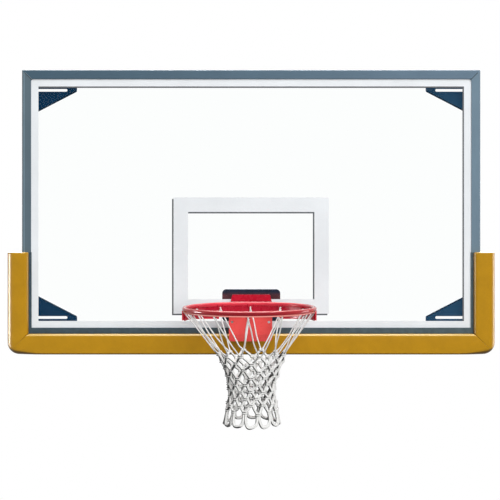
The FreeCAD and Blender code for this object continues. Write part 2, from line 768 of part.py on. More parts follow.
def net_radius(drop):
    """Radius of the net's cords at a depth below the ring's rod."""
    if drop <= NET_NECK_DROP:
        share = (drop - NET_KNOT_DROP) / (NET_NECK_DROP - NET_KNOT_DROP)
        return NET_NECK_R + (NET_KNOT_R - NET_NECK_R) * (1 + math.cos(math.pi * share)) / 2
    share = (drop - NET_NECK_DROP) / (NET_FOOT_DROP - NET_NECK_DROP)
    return NET_NECK_R + (NET_FOOT_R - NET_NECK_R) * share


def strand_route():
    """One cord as (radius, depth, share of the half column): 0 beside its own loop, 1 at the next."""
    start_drop = LOOP_DROP - ROD_R + LOOP_WIRE_R + NET_SEAT
    route = [(RING_R - LOOP_INSET, start_drop, 0.0)]
    step = (NET_ROW_END_DROP - NET_KNOT_DROP) / NET_HALF_ROWS
    for row in range(NET_HALF_ROWS + 1):
        drop = NET_KNOT_DROP + row * step
        route.append((net_radius(drop), drop, float(row % 2 == 0)))
    fall = NET_FOOT_DROP - NET_ROW_END_DROP
    for i in range(1, NET_LOOP_STEPS + 1):
        turn = math.pi / 2 * i / NET_LOOP_STEPS
        drop = NET_ROW_END_DROP + fall * math.sin(turn)
        route.append((net_radius(drop), drop, math.cos(turn)))
    return route


def knot_margin(radius):
    """Half width of a bent cord at a knot, as a turn about the net's axis."""
    half_column = radius * math.pi / LOOP_COUNT
    step = (NET_ROW_END_DROP - NET_KNOT_DROP) / NET_HALF_ROWS
    margin = CORD_R
    for _ in range(8):
        margin = CORD_R * math.hypot(1, (half_column - 2 * margin) / step) + NET_GAP
    return margin / radius


def strand_points(base_turn, side):
    """Centre line of one cord as (point, turn about the net's axis)."""
    route = strand_route()
    last = len(route) - 1
    points = []
    for i, (radius, drop, share) in enumerate(route):
        margin = knot_margin(radius)
        if i == 0:
            margin = (CORD_R + NET_GAP) / radius
        if i == last:
            margin = NET_GAP / radius
        turn = base_turn + side * (margin + share * (math.pi / LOOP_COUNT - 2 * margin))
        points.append((polar(radius, turn, ROD_Z - drop), turn))
    return points


def cord_section(point, turn, way, stretch):
    """Faceted section of a cord across its way, stretched across the bend at a knot."""
    outward = Vector(math.sin(turn), -math.cos(turn), 0)
    across = way.cross(outward).normalize()
    face_out = across.cross(way).normalize()
    ring = []
    for j in range(CORD_SIDES):
        a = 2 * math.pi * (j + 0.5) / CORD_SIDES
        offset = face_out * math.cos(a) + across * (stretch * math.sin(a))
        ring.append(point + offset * CORD_R)
    return Part.makePolygon(ring + ring[:1])


def strand(base_turn, side):
    """Cord that zigzags over half a column, from its loop to the bottom of the net."""
    points = strand_points(base_turn, side)
    last = len(points) - 1
    top, top_turn = points[0]
    sections = [cord_section(top, top_turn, Vector(0, 0, -1), 1)]
    for i in range(1, last):
        before = (points[i][0] - points[i - 1][0]).normalize()
        after = (points[i + 1][0] - points[i][0]).normalize()
        stretch = 1 / math.sqrt((1 + before.dot(after)) / 2)
        sections.append(cord_section(*points[i], (before + after).normalize(), stretch))
    foot, foot_turn = points[last]
    sideways = Vector(-side * math.cos(foot_turn), -side * math.sin(foot_turn), 0)
    sections.append(cord_section(foot, foot_turn, sideways, 1))
    return Part.makeLoft(sections, True, True)


def net_strands():
    strands = []
    for i in range(LOOP_COUNT):
        turn = 2 * math.pi * i / LOOP_COUNT
        strands += [strand(turn, 1), strand(turn, -1)]
    return strands


# Whole board

def build_frame():
    holes = pad_screws(SCREW_R + SCREW_CLEAR, 0)
    for hole in corner_screws(SCREW_R + SCREW_CLEAR, 0, 0, SCREW_TAIL):
        holes += four_corners(hole)
    rails = [rail.cut(holes) for rail in around_board(frame_rail)]
    for name, rail in zip(("top", "right", "bottom", "left"), rails):
        save("frame_" + name, rail)
    save("corner_keys", *four_corners(corner_key()))
    save("glazing_seal", *around_board(seal_strip))


def stripe(outer_w, outer_h, band, centre_z):
    """Printed band of even width on the front of the glass."""
    front = GLASS_FRONT - PRINT_T
    sheets = []
    for inset in (0, band):
        half_w = outer_w / 2 - inset
        half_h = outer_h / 2 - inset
        sheets.append(box(-half_w, half_w, front, GLASS_FRONT, centre_z - half_h, centre_z + half_h))
    return sheets[0].cut(sheets[1])


def build_glass():
    inset = FRAME_WALL + SEAL_T + SEAL_FIT
    sheet = box(-HALF_W + inset, HALF_W - inset, GLASS_FRONT, GLASS_REAR, -HALF_H + inset, HALF_H - inset)
    hole = BOLT_R + BOLT_CLEAR + GROMMET_WALL + GROMMET_CLEAR
    save("glass_panel", bored(sheet, hole, GLASS_FRONT, GLASS_REAR))
    edge = 2 * (FRAME_FACE - SEAL_SETBACK + PAD_CLEAR)
    band = BORDER_W + FRAME_FACE - edge / 2
    save("border_stripe", stripe(BOARD_W - edge, BOARD_H - edge, band, 0))
    target_z = RING_TOP + TARGET_H / 2 - TARGET_BAND
    target = stripe(TARGET_W, TARGET_H, TARGET_BAND, target_z)
    save("target_stripe", bored(target, hole, GLASS_FRONT - PRINT_T, GLASS_FRONT))


def build_gussets():
    names = ("top_left", "top_right", "bottom_left", "bottom_right")
    for name, shape in zip(names, four_corners(gusset())):
        save("gusset_" + name, shape)
    screws = []
    for screw in corner_screws(SCREW_R, SCREW_HEAD_R, SCREW_HEAD_H, SCREW_TAIL):
        screws += four_corners(screw)
    save("gusset_screws", *screws)


def build_padding():
    leg, run, strip_leg, strip_run = pad_halves(pad_screws(SCREW_R + SCREW_CLEAR, 0))
    save("pad_right", leg)
    save("pad_left", mirror_x(leg))
    save("pad_bottom_right", run)
    save("pad_bottom_left", mirror_x(run))
    holes = pad_screws(SCREW_R + RUN_CLEAR, 0)
    strips = [strip_leg, mirror_x(strip_leg), strip_run]
    save("pad_strips", *[strip.cut(holes) for strip in strips])
    save("pad_screws", *pad_screws(SCREW_R, SCREW_HEAD_H))


def build_goal():
    grommets, washers, bolts, nuts = goal_fasteners()
    save("goal_base_plate", base_outline(BASE_G, BASE_FRONT_G))
    save("front_gasket", base_outline(GASKET_G, BASE_G))
    save("rear_gasket", rear_outline(GLASS_REAR, GLASS_REAR + GASKET_T))
    save("rear_goal_plate", rear_outline(GLASS_REAR + GASKET_T, GLASS_REAR + GASKET_T + REAR_T))
    save("glass_grommets", *grommets)
    save("goal_washers", *washers)
    save("goal_bolts", *bolts)
    save("goal_nuts", *nuts)


def build_hinge():
    pin, bushes, washers, clips = pivot_pieces()
    save("hinge_cheeks", hinge_cheek(), mirror_x(hinge_cheek()))
    save("hinge_lugs", hinge_lug(), mirror_x(hinge_lug()))
    save("pivot_pin", pin)
    save("pivot_bushes", *bushes)
    save("pin_washers", *washers)
    save("pin_clips", *clips)
    save("top_plate", top_plate())
    save("front_plate", front_plate())
    save("spring_seat", spring_end(BASE_FRONT_G, 1))
    save("spring_cup", spring_end(FRONT_G0, -1))
    save("breakaway_spring", spring())


def build_ring():
    save("ring", rod_ring())
    save("ring_brace", ring_brace())
    save("net_loops", *[net_loop(2 * math.pi * i / LOOP_COUNT) for i in range(LOOP_COUNT)])
    save("net", *net_strands())


os.makedirs("parts", exist_ok=True)
build_frame()
build_glass()
build_gussets()
build_padding()
build_goal()
build_hinge()
build_ring()
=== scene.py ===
import bpy
import json
import math
import random
from mathutils import Matrix, Vector


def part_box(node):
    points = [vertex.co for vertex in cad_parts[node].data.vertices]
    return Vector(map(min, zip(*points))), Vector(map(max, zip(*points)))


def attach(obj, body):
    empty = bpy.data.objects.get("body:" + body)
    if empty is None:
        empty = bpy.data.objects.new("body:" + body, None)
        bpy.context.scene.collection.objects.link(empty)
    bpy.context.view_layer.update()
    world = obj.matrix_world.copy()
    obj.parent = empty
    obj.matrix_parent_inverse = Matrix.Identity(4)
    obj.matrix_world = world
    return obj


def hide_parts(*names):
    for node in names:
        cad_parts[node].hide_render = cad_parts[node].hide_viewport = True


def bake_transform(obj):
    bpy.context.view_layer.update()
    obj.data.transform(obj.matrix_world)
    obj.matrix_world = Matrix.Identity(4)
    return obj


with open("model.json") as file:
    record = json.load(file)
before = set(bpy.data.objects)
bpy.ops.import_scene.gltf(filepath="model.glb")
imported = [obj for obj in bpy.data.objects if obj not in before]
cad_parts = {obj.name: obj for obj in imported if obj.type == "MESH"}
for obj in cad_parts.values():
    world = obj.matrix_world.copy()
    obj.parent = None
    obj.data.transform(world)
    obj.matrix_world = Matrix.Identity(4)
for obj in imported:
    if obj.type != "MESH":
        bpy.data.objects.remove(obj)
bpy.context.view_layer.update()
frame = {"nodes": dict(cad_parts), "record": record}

# Framed glass backboard with a breakaway goal, a net and edge padding.
# Metres, +Z up, play side at -Y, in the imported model's own frame.

# Photograph
IMAGE_SIZE = 500
SENSOR_MM = 36.0
FOCAL_PX = 1070.0
HORIZON_PX = 226.0
CENTRE_PX = 251.2
CAMERA_TO_GLASS = 4.27
CAMERA_X = 0.075
CAMERA_Z = -0.089

# Padding
PAD_CORNER_R = 0.048
PAD_LEG_R = 0.030
PAD_RUN_R = 0.009
PAD_BLEND = 0.12
PAD_LIP_R = 0.014
PAD_LIP_TUCK = PAD_LIP_R / 3
PAD_REAR_R = 0.006
PAD_TOP_R = 0.0055
PAD_MEETING_R = 0.002
PAD_CROWN = 0.0008
PAD_FIT = 0.0003
PAD_SEAM = 0.00015
PAD_ROW = 0.03
PAD_ARC_STEPS = 6
PAD_FACE_STEPS = 12

# Crease at the padding's corner; a share runs from the lip to the outer side
CREASE_R = 0.0004
CREASE_GROWTH = 1.5
CREASE_DEPTH = 0.0022
CREASE_REACH = 0.005
CREASE_END = 0.72
CREASE_SHARP = 0.45
CREASE_ROWS = (0.0, 0.0004, 0.001, 0.002, 0.0035, 0.0055, 0.008, 0.0115, 0.016, 0.022, 0.03, 0.04)

# Net's form; drops are depths below the ring's rod
CORD_R = 0.0052
TOP_CORD_R = 0.0025
FOOT_CORD_R = 0.006
NET_HALF_ROWS = 8
NET_KNOT_DROP = 0.165
NET_UNSHADED_DROP = 0.13
NET_NECK_DROP = 0.314
NET_ROW_END_DROP = 0.367
NET_FOOT_DROP = 0.418
NET_KNOT_R = 0.123
NET_NECK_R = 0.0815
NET_FOOT_R = 0.101
NET_FOOT_STEPS = 5
NET_FOOT_ROUND = 0.68
NET_FOOT_SPAN = 0.86
NET_PAIR_GAP = 0.92 * CORD_R
NET_SMOOTH = 6
NET_SIDES = 8

# Net's unevenness; a sag is a place along the top strand and a share of the whole
NET_SEED = 7
NET_SWAY = 0.009
NET_SWAY_START = 0.03
NET_SAG = 0.004
NET_SAG_PLACES = ((0.3, 0.7), (0.62, 1.0), (0.88, 0.5))
NET_STRAND_PLAY = 0.0025
NET_TURN_PLAY = 0.04
NET_DROP_PLAY = 0.004
NET_RADIUS_PLAY = 0.002
NET_FOOT_PLAY = 0.006

# Wire loops that carry the net; the cord's bend over their wire is in degrees
LOOP_COUNT = 12
LOOP_WIRE_R = 0.002
LOOP_CLEAR = 0.002
LOOP_BEND = (30, 90, 150)

# Wraps at the knots
WRAP_R = 0.0026
WRAP_TURNS = 1.6
WRAP_STEPS = 20
WRAP_SIDES = 6
WRAP_WIDE = 1.75 * CORD_R
WRAP_DEEP = 1.15 * CORD_R
WRAP_HIGH = 2.1 * CORD_R
WRAP_TUCK = 0.72
WRAP_LEAN = 0.5

# Spring
SPRING_TURNS = 8
SPRING_WIRE_R = 0.003
SPRING_STEPS = 24
SPRING_SIDES = 12

# Painted drop shadows beside the printed stripes, seams, and the strip of painted shade beside the padding
DROP_SHADOW_W = 0.006
DROP_SHADOW_GAP = 0.00002
BORDER_BAND = 0.0655
TARGET_BAND = 0.058
SEAM_W = 0.0016
SEAM_T = 0.0001
SEAM_INSET = 0.011
SHADE_STRIP_T = 0.0008
SHADE_STRIP_FIT = 0.0003

# Thin rod under the front of the ring; its reach is in degrees from the front
UNDER_ROD_R = 0.0023
UNDER_ROD_OUT = 0.0019
UNDER_ROD_SINK = 0.0003
UNDER_ROD_REACH = 88
UNDER_ROD_STEPS = 88
UNDER_ROD_SIDES = 10

# Strips at the ends of the ring's brace; start and span are in degrees from the front
LAP_INSET = 0.0002
LAP_START = 84.0
LAP_SPAN = 66.0
LAP_STEPS = 24
LAP_TOP = 0.005
LAP_LOW_FRONT = 0.041
LAP_LOW_REAR = 0.056

# Lips along the gussets' free edges
GUSSET_PLATE = 0.005
GUSSET_TIP = 0.045
LIP_W = 0.005
LIP_T = 0.0015
LIP_FIT = 0.00005
LIP_MARGIN = 0.004

# Stage; the ring stands at its real height over the floor
AIM = Vector((0, 0, -0.2))
RING_HEIGHT = 3.048
FLOOR_R = 6.0
FLOOR_SIDES = 64
SOFT_LIGHT = 0.13

# Surfaces: colours, ways to look along which shade and highlights are painted, the middle range of a noise
# and the angles of a sharp edge
WHITE = (1.0, 1.0, 1.0, 1.0)
BLACK = (0.0, 0.0, 0.0, 1.0)
DOWN = (0.0, 0.0, -1.0)
LOWER_LEFT = (-0.66, 0.0, -0.75)
RING_UPPER_FRONT = (0.0, -0.5, 0.866)
PAD_UPPER_FRONT = (0.0, -0.6, 0.8)
NOISE_LOW = 0.3
NOISE_HIGH = 0.7
BRAID_PLIES = 4
EDGE_SHARP = 35.0
TUBE_SHARP = 60.0

# Heights between which the rear gasket's bands of colour, a painted reflection of the red goal, are placed
GASKET_SPAN = (-0.47, -0.34)

# Nodes whose finish differs from that of their material slot
OWN_FINISHES = {
    "rear_gasket": "gasket_rubber",
    "ring": "ring_paint",
    "frame_top": "top_paint",
    "frame_left": "left_paint",
}

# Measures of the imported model
NODES = frame["nodes"]
RING_LOW, RING_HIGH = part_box("ring")
RING_CENTRE = (RING_LOW + RING_HIGH) / 2
ROD_R = (RING_HIGH.z - RING_LOW.z) / 2
RING_R = (RING_HIGH.x - RING_LOW.x) / 2 - ROD_R
GLASS_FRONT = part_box("glass_panel")[0].y
BOARD_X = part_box("frame_right")[1].x
BOARD_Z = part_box("frame_top")[1].z
FRAME_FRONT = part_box("frame_top")[0].y
HALF_COLUMN = math.pi / LOOP_COUNT
LOOP_LOW, LOOP_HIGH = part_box("net_loops")
LOOP_DROP = RING_CENTRE.z - LOOP_LOW.z - LOOP_WIRE_R
LOOP_RING_R = (LOOP_HIGH.y - LOOP_LOW.y) / 2 - LOOP_WIRE_R

MATERIALS = {}


# Shader helpers

def linear(red, green, blue):
    """Scene colour of an sRGB colour written from 0 to 255."""
    parts = []
    for value in (red, green, blue):
        share = value / 255
        parts.append(share / 12.92 if share <= 0.04045 else ((share + 0.055) / 1.055) ** 2.4)
    return (*parts, 1.0)


def shade(colour, factor):
    """The colour made darker or lighter."""
    return (*[min(1.0, part * factor) for part in colour[:3]], 1.0)


def greys(stops):
    """Stops of a grade that shades what it is laid over."""
    return [(place, shade(WHITE, value)) for place, value in stops]


def left_to_right(left, right):
    """Grade from one colour to another across the board."""
    return "X", -BOARD_X, BOARD_X, [(0.0, left), (1.0, right)]


def one_tone(colour):
    return left_to_right(colour, colour)


def set_inputs(node, values):
    """Write a node's sockets, each named with a low line for a blank."""
    for socket, value in values.items():
        node.inputs[socket.replace("_", " ")].default_value = value


def operate(tree, kind, operation, *values):
    """Node of one operation; each value is a number, a vector or another node's output."""
    node = tree.nodes.new("ShaderNode" + kind)
    node.operation = operation
    for socket, value in zip(node.inputs, values):
        if isinstance(value, bpy.types.NodeSocket):
            tree.links.new(value, socket)
        else:
            socket.default_value = value
    return node


def mix_shaders(tree, share, first, second, output):
    """Send a mix of two shaders to the tree's output node."""
    mix = tree.nodes.new("ShaderNodeMixShader")
    tree.links.new(share, mix.inputs["Fac"])
    tree.links.new(first, mix.inputs[1])
    tree.links.new(second, mix.inputs[2])
    tree.links.new(mix.outputs["Shader"], tree.nodes[output].inputs["Surface"])


class Finish:
    """A Principled material, kept by its name, whose textures lie in the object's own coordinates."""

    def __init__(self, name, **values):
        material = bpy.data.materials.new(name)
        material.use_nodes = True
        MATERIALS[name] = material
        self.tree = material.node_tree
        self.shader = self.tree.nodes["Principled BSDF"]
        self.where = self.tree.nodes.new("ShaderNodeTexCoord").outputs["Object"]
        set_inputs(self.shader, values)

    def node(self, kind, links=None, **values):
        node = self.tree.nodes.new("ShaderNode" + kind)
        set_inputs(node, values)
        for socket, source in (links or {}).items():
            self.tree.links.new(source, node.inputs[socket])
        return node

    def drive(self, socket, source):
        self.tree.links.new(source, self.shader.inputs[socket])

    def mixed(self, share, other):
        """Mix another shader in by the given share."""
        mix_shaders(self.tree, share, self.shader.outputs["BSDF"], other, "Material Output")

    def let_through(self, share):
        self.mixed(share, self.node("BsdfTransparent").outputs["BSDF"])

    def math(self, operation, *values):
        return operate(self.tree, "Math", operation, *values).outputs["Value"]

    def scaled(self, colour, factor):
        node = operate(self.tree, "VectorMath", "SCALE", colour)
        self.tree.links.new(factor, node.inputs["Scale"])
        return node.outputs["Vector"]

    def added(self, first, second):
        return operate(self.tree, "VectorMath", "ADD", first, second).outputs["Vector"]

    def stretched(self, scale):
        return self.node("Mapping", {"Vector": self.where}, Scale=scale).outputs["Vector"]

    def noise(self, scale, detail=3.0, rough=0.55, where=None):
        node = self.node("TexNoise", {"Vector": where or self.where}, Scale=scale, Detail=detail,
                         Roughness=rough)
        return node.outputs["Fac"]

    def cloud(self):
        return self.noise(9.0, detail=4.0)

    def cells(self, scale):
        return self.node("TexVoronoi", {"Vector": self.where}, Scale=scale).outputs["Distance"]

    def mapped(self, source, start, full, before, after):
        """Value that goes from before to after while the source goes from start to full."""
        node = self.node("MapRange", {"Value": source}, From_Min=start, From_Max=full, To_Min=before,
                         To_Max=after)
        return node.outputs["Result"]

    def spread(self, source, low, high):
        """The middle range of a noise as a value from low to high."""
        return self.mapped(source, NOISE_LOW, NOISE_HIGH, low, high)

    def ramp(self, source, stops):
        node = self.node("ValToRGB", {"Fac": source})
        ramp = node.color_ramp
        while len(ramp.elements) < len(stops):
            ramp.elements.new(0.5)
        for element, (place, colour) in zip(ramp.elements, stops):
            element.position = place
            element.color = colour
        return node.outputs["Color"]

    def shades(self, source, colour, low, high):
        """Shades of one colour over the middle range of a noise."""
        return self.ramp(source, [(NOISE_LOW, shade(colour, low)), (NOISE_HIGH, shade(colour, high))])

    def along(self, axis, low, high, stops):
        """Colours in turn from one place to another along an axis of the frame."""
        axes = self.node("SeparateXYZ", {"Vector": self.where})
        return self.ramp(self.mapped(axes.outputs[axis], low, high, 0.0, 1.0), stops)

    def clouded(self, grade):
        """Colours along an axis with a faint cloudy tone."""
        return self.scaled(self.along(*grade), self.spread(self.cloud(), 0.95, 1.05))

    def facing(self, way, start, full, before, after):
        """Value that goes from before to after where the surface turns to look one way."""
        normal = self.node("NewGeometry").outputs["Normal"]
        turned = operate(self.tree, "VectorMath", "DOT_PRODUCT", normal, way)
        return self.mapped(turned.outputs["Value"], start, full, before, after)

    def highlight_facing(self, way, start, full, pale):
        """Painted highlight: colour to add where the surface turns to look one way."""
        return self.ramp(self.facing(way, start, full, 0.0, 1.0), [(0.0, BLACK), (1.0, pale)])

    def bump(self, height, strength, distance):
        node = self.node("Bump", {"Height": height}, Strength=strength, Distance=distance)
        self.drive("Normal", node.outputs["Normal"])

    def coat(self, roughness):
        """Uneven gloss and fine orange peel of a powder coat."""
        self.drive("Roughness", self.spread(self.noise(60.0), roughness - 0.06, roughness + 0.08))
        self.bump(self.noise(520.0, detail=2.0), strength=0.12, distance=0.0004)


# Materials

def paint(name, colour, roughness, spread=0.06, gloss=0.15):
    """Powder coat: faint cloudy tone, uneven gloss and a fine orange peel."""
    finish = Finish(name, Specular_IOR_Level=gloss)
    finish.drive("Base Color", finish.shades(finish.cloud(), colour, 1 - spread, 1 + spread))
    finish.coat(roughness)


def graded(name, grade, across=None, roughness=0.42, gloss=0.15):
    """Powder coat whose tone changes along one axis and, where given, its shade along another."""
    finish = Finish(name, Specular_IOR_Level=gloss)
    tone = finish.clouded(grade)
    if across:
        tone = finish.scaled(tone, finish.along(*across))
    finish.drive("Base Color", tone)
    finish.coat(roughness)


def highlighted_coat(name, grade, pale, roughness, gloss):
    """Glossy coat whose tone changes along one axis, with a painted highlight where it looks up and
    forward.
    """
    finish = Finish(name, Specular_IOR_Level=gloss)
    ring_highlight = finish.highlight_facing(RING_UPPER_FRONT, start=0.8, full=0.97, pale=pale)
    finish.drive("Base Color", finish.added(finish.clouded(grade), ring_highlight))
    finish.coat(roughness)


def metal(name, colour, roughness, stretch):
    """Bare or plated metal with fine drawn lines along one way."""
    finish = Finish(name, Metallic=1.0)
    lines = finish.noise(90.0, detail=4.0, rough=0.6, where=finish.stretched(stretch))
    finish.drive("Base Color", finish.shades(lines, colour, 0.82, 1.08))
    finish.drive("Roughness", finish.spread(lines, roughness - 0.08, roughness + 0.1))
    finish.bump(lines, strength=0.08, distance=0.0002)


def rubber(name, grade):
    """Dusty rubber whose tone changes along one axis."""
    finish = Finish(name, Specular_IOR_Level=0.25)
    dust = finish.noise(45.0, detail=5.0)
    finish.drive("Base Color", finish.scaled(finish.along(*grade), finish.spread(dust, 0.85, 1.3)))
    finish.drive("Roughness", finish.spread(dust, 0.6, 0.8))
    finish.bump(finish.noise(700.0, detail=2.0), strength=0.15, distance=0.0003)


def printed(name, colour, low, high):
    """Thin print: fine speckle and a slight drift in tone, and most of a lamp's light passes it."""
    finish = Finish(name, Specular_IOR_Level=0.3)
    speckle = finish.noise(260.0, detail=2.0)
    drift = finish.noise(5.0, detail=3.0)
    tone = finish.math("MULTIPLY_ADD", speckle, 0.35, drift)
    finish.drive("Base Color", finish.ramp(tone, [(0.45, shade(colour, low)), (0.9, shade(colour, high))]))
    finish.drive("Roughness", finish.spread(speckle, 0.28, 0.4))
    finish.bump(speckle, strength=0.05, distance=0.0001)
    path = finish.node("LightPath")
    finish.let_through(finish.math("MULTIPLY", path.outputs["Is Shadow Ray"], 0.85))


def clear_glass(name):
    """Clear sheet that lets lamps and soft light reach what stands behind it."""
    finish = Finish(name, Base_Color=(0.975, 0.99, 0.985, 1.0), Transmission_Weight=1.0, IOR=1.48,
                    Specular_Tint=(0.1, 0.1, 0.1, 1.0))
    finish.drive("Roughness", finish.spread(finish.noise(3.0), 0.0, 0.004))
    rays = finish.node("LightPath").outputs
    finish.let_through(finish.math("MAXIMUM", rays["Is Shadow Ray"], rays["Is Diffuse Ray"]))


def pebbled(name, colour, pale):
    """Moulded skin: small pebbles, a soft gloss, cloudy tone, a painted highlight on the lip and painted
    shade on the underside.
    """
    finish = Finish(name, Specular_IOR_Level=0.2)
    cloud = finish.noise(14.0, detail=5.0, rough=0.6)
    grain = finish.noise(240.0, detail=3.0)
    tone = finish.math("MULTIPLY_ADD", grain, 0.6, cloud)
    skin = finish.ramp(tone, [(0.6, shade(colour, 0.92)), (0.8, colour), (1.0, shade(colour, 1.08))])
    # Painted shade: the skin is darkened where it looks down.
    underside_shade = finish.facing(DOWN, start=0.3, full=0.55, before=1.0, after=0.2)
    # Painted highlight: pale colour added on the lip where it looks up and forward.
    lip = finish.highlight_facing(PAD_UPPER_FRONT, start=0.88, full=0.99, pale=pale)
    finish.drive("Base Color", finish.added(finish.scaled(skin, underside_shade), lip))
    finish.drive("Roughness", finish.spread(grain, 0.3, 0.4))
    finish.bump(finish.math("MULTIPLY", finish.cells(330.0), -1.0), strength=0.2, distance=0.0006)


def braided(name, colour):
    """Braided cord: crossing plies with painted shade in their grooves, and painted shade where it looks
    down and left, kept off the top strands.
    """
    finish = Finish(name, Specular_IOR_Level=0.2, Sheen_Weight=0.25, Sheen_Roughness=0.4)
    axes = finish.node("SeparateXYZ", {"Vector": finish.node("UVMap").outputs["UV"]})
    round_it = finish.math("MULTIPLY", axes.outputs["X"], BRAID_PLIES * math.tau)
    along = finish.math("MULTIPLY", axes.outputs["Y"], math.tau)
    plies = [finish.math("SINE", finish.math(way, round_it, along)) for way in ("ADD", "SUBTRACT")]
    weave = finish.math("MAXIMUM", *plies)
    # Painted shade: the grooves between the plies are coloured darker.
    yarn = finish.ramp(weave, [(0.0, shade(colour, 0.84)), (0.8, colour)])
    # Painted shade: the cord is darkened where it looks down and left, as if lit from the upper right; the
    # top strands above the unshaded depth are spared.
    unshaded_top = finish.along("Z", RING_CENTRE.z - NET_KNOT_DROP, RING_CENTRE.z - NET_UNSHADED_DROP,
                         [(0.0, BLACK), (1.0, WHITE)])
    lower_left_shade = finish.facing(LOWER_LEFT, start=0.1, full=0.36, before=1.0, after=0.05)
    finish.drive("Base Color", finish.scaled(yarn, finish.math("MAXIMUM", unshaded_top, lower_left_shade)))
    finish.drive("Roughness", finish.spread(finish.noise(120.0), 0.62, 0.8))
    finish.bump(weave, strength=0.5, distance=0.0006)


def make_board_materials():
    """Finishes of the frame, the glass and its prints, the gussets and the padding."""
    # Painted light: the gussets are lighter towards the right.
    graded("gusset_paint", left_to_right(linear(8, 47, 76), linear(34, 71, 100)), roughness=0.45,
           gloss=0.05)
    # Painted shade: the dark colour of the gussets' lips.
    paint("lip_shade_paint", linear(12, 36, 54), roughness=0.5, gloss=0.05)
    clear_glass("glass")
    printed("stripe_print", linear(232, 236, 239), low=0.95, high=1.04)
    # Painted shadow: drop shadows beside the white stripes.
    printed("drop_shadow_paint", linear(88, 91, 95), low=0.9, high=1.1)
    rubber("seal_rubber", one_tone(linear(38, 39, 41)))
    # Painted shade beside the padding, darker on the left.
    rubber("pad_shade_paint", left_to_right(linear(56, 71, 80), linear(76, 90, 95)))
    # Its pale colour is the painted highlight on the padding's lip.
    pebbled("pad_foam", linear(179, 132, 20), pale=(0.32, 0.29, 0.14, 1.0))
    metal("key_aluminium", (0.72, 0.73, 0.74, 1.0), roughness=0.4, stretch=(0.1, 1.0, 1.0))
    metal("zinc_steel", (0.62, 0.63, 0.65, 1.0), roughness=0.34, stretch=(1.0, 0.2, 1.0))


def make_rail_materials():
    """Rails painted as lit from the right: the right and bottom ones lighter towards the right, the top one
    darker towards the left with painted shade along both its edges, and the left one with a painted
    highlight and painted shade across its outer arris.
    """
    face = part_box("frame_left")[1].x + BOARD_X
    graded("frame_paint", left_to_right(linear(105, 122, 133), linear(111, 132, 147)))
    tops = [(0.0, linear(72, 94, 109)), (0.45, linear(88, 109, 124)), (1.0, linear(107, 128, 145))]
    top_edge_shade = greys([(0.0, 0.66), (0.1, 0.72), (0.17, 1.0), (0.86, 1.0), (1.0, 0.7)])
    graded("top_paint", ("X", -BOARD_X, BOARD_X, tops), ("Z", BOARD_Z - face, BOARD_Z, top_edge_shade),
           roughness=0.5, gloss=0.03)
    outer_arris_light_and_shade = greys([(0.0, 0.5), (0.14, 0.55), (0.2, 1.0), (0.26, 1.0), (0.32, 0.64), (0.88, 0.62),
                  (1.0, 0.45)])
    graded("left_paint", one_tone(linear(116, 136, 148)), ("X", -BOARD_X, face - BOARD_X, outer_arris_light_and_shade),
           roughness=0.5, gloss=0.04)


def make_goal_materials():
    """Finishes of the goal, its hinge and the net; the rear gasket carries a brownish red band, a painted
    reflection of the red goal.
    """
    navy = linear(32, 40, 58)
    red_reflection_bands = [(0.36, navy), (0.48, linear(86, 46, 50)), (0.8, linear(80, 46, 52)), (0.9, navy)]
    rubber("gasket_rubber", ("Z", *GASKET_SPAN, red_reflection_bands))
    # Painted shade and light: the ring is darker at the front and lighter towards its sides and rear.
    front_shade_rear_light = [(0.0, linear(140, 12, 28)), (0.3, linear(206, 50, 56)), (0.75, linear(224, 52, 70))]
    highlighted_coat("ring_paint", ("Y", RING_LOW.y, RING_HIGH.y, front_shade_rear_light), pale=(0.34, 0.085, 0.075, 1.0),
            roughness=0.15, gloss=0.18)
    paint("goal_paint", linear(184, 25, 48), roughness=0.27)
    paint("front_paint", linear(236, 84, 82), roughness=0.3, spread=0.05)
    # Painted highlight: the thin rod under the ring is coloured pale pink.
    paint("rod_highlight_paint", linear(252, 158, 150), roughness=0.3, spread=0.05)
    metal("pin_steel", (0.55, 0.56, 0.57, 1.0), roughness=0.25, stretch=(0.1, 1.0, 1.0))
    metal("bush_bronze", (0.62, 0.40, 0.17, 1.0), roughness=0.35, stretch=(0.2, 1.0, 1.0))
    metal("spring_steel", (0.16, 0.165, 0.175, 1.0), roughness=0.35, stretch=(1.0, 1.0, 1.0))
    braided("net_cord", linear(246, 246, 244))


def dress_nodes():
    """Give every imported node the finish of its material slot, or the one of its own."""
    for row in frame["record"]["subparts"]:
        for slot in NODES[row["node"]].material_slots:
            slot.material = MATERIALS[row["material_slot"]]
    for node, finish in OWN_FINISHES.items():
        NODES[node].material_slots[0].material = MATERIALS[finish]


# Mesh helpers

def add_mesh(name, vertices, faces, slot, material=None, corners=None, sharp=EDGE_SHARP):
    """New object from points and faces; corners gives one UV place per face corner."""
    mesh = bpy.data.meshes.new(name)
    mesh.from_pydata(vertices, [], faces)
    mesh.materials.append(MATERIALS[material or slot])
    mesh.shade_smooth()
    mesh.set_sharp_from_angle(angle=math.radians(sharp))
    if corners:
        layer = mesh.uv_layers.new(name="along")
        for loop, place in zip(layer.data, corners):
            loop.uv = place
    piece = bpy.data.objects.new(name, mesh)
    bpy.context.scene.collection.objects.link(piece)
    return piece


def flipped(faces):
    return [face[::-1] for face in faces]


def skin(first, rows, wide):
    """Faces round rows of points that follow one another from the first point, with both ends closed."""
    faces = []
    for row in range(rows - 1):
        low = first + row * wide
        for j in range(wide):
            k = (j + 1) % wide
            faces.append((low + j, low + k, low + wide + k, low + wide + j))
    last = first + (rows - 1) * wide
    return faces + [tuple(range(first, first + wide))[::-1], tuple(range(last, last + wide))]


def eased(share):
    """Share from 0 to 1 that starts and ends gently."""
    return share ** 2 * (3 - 2 * share)


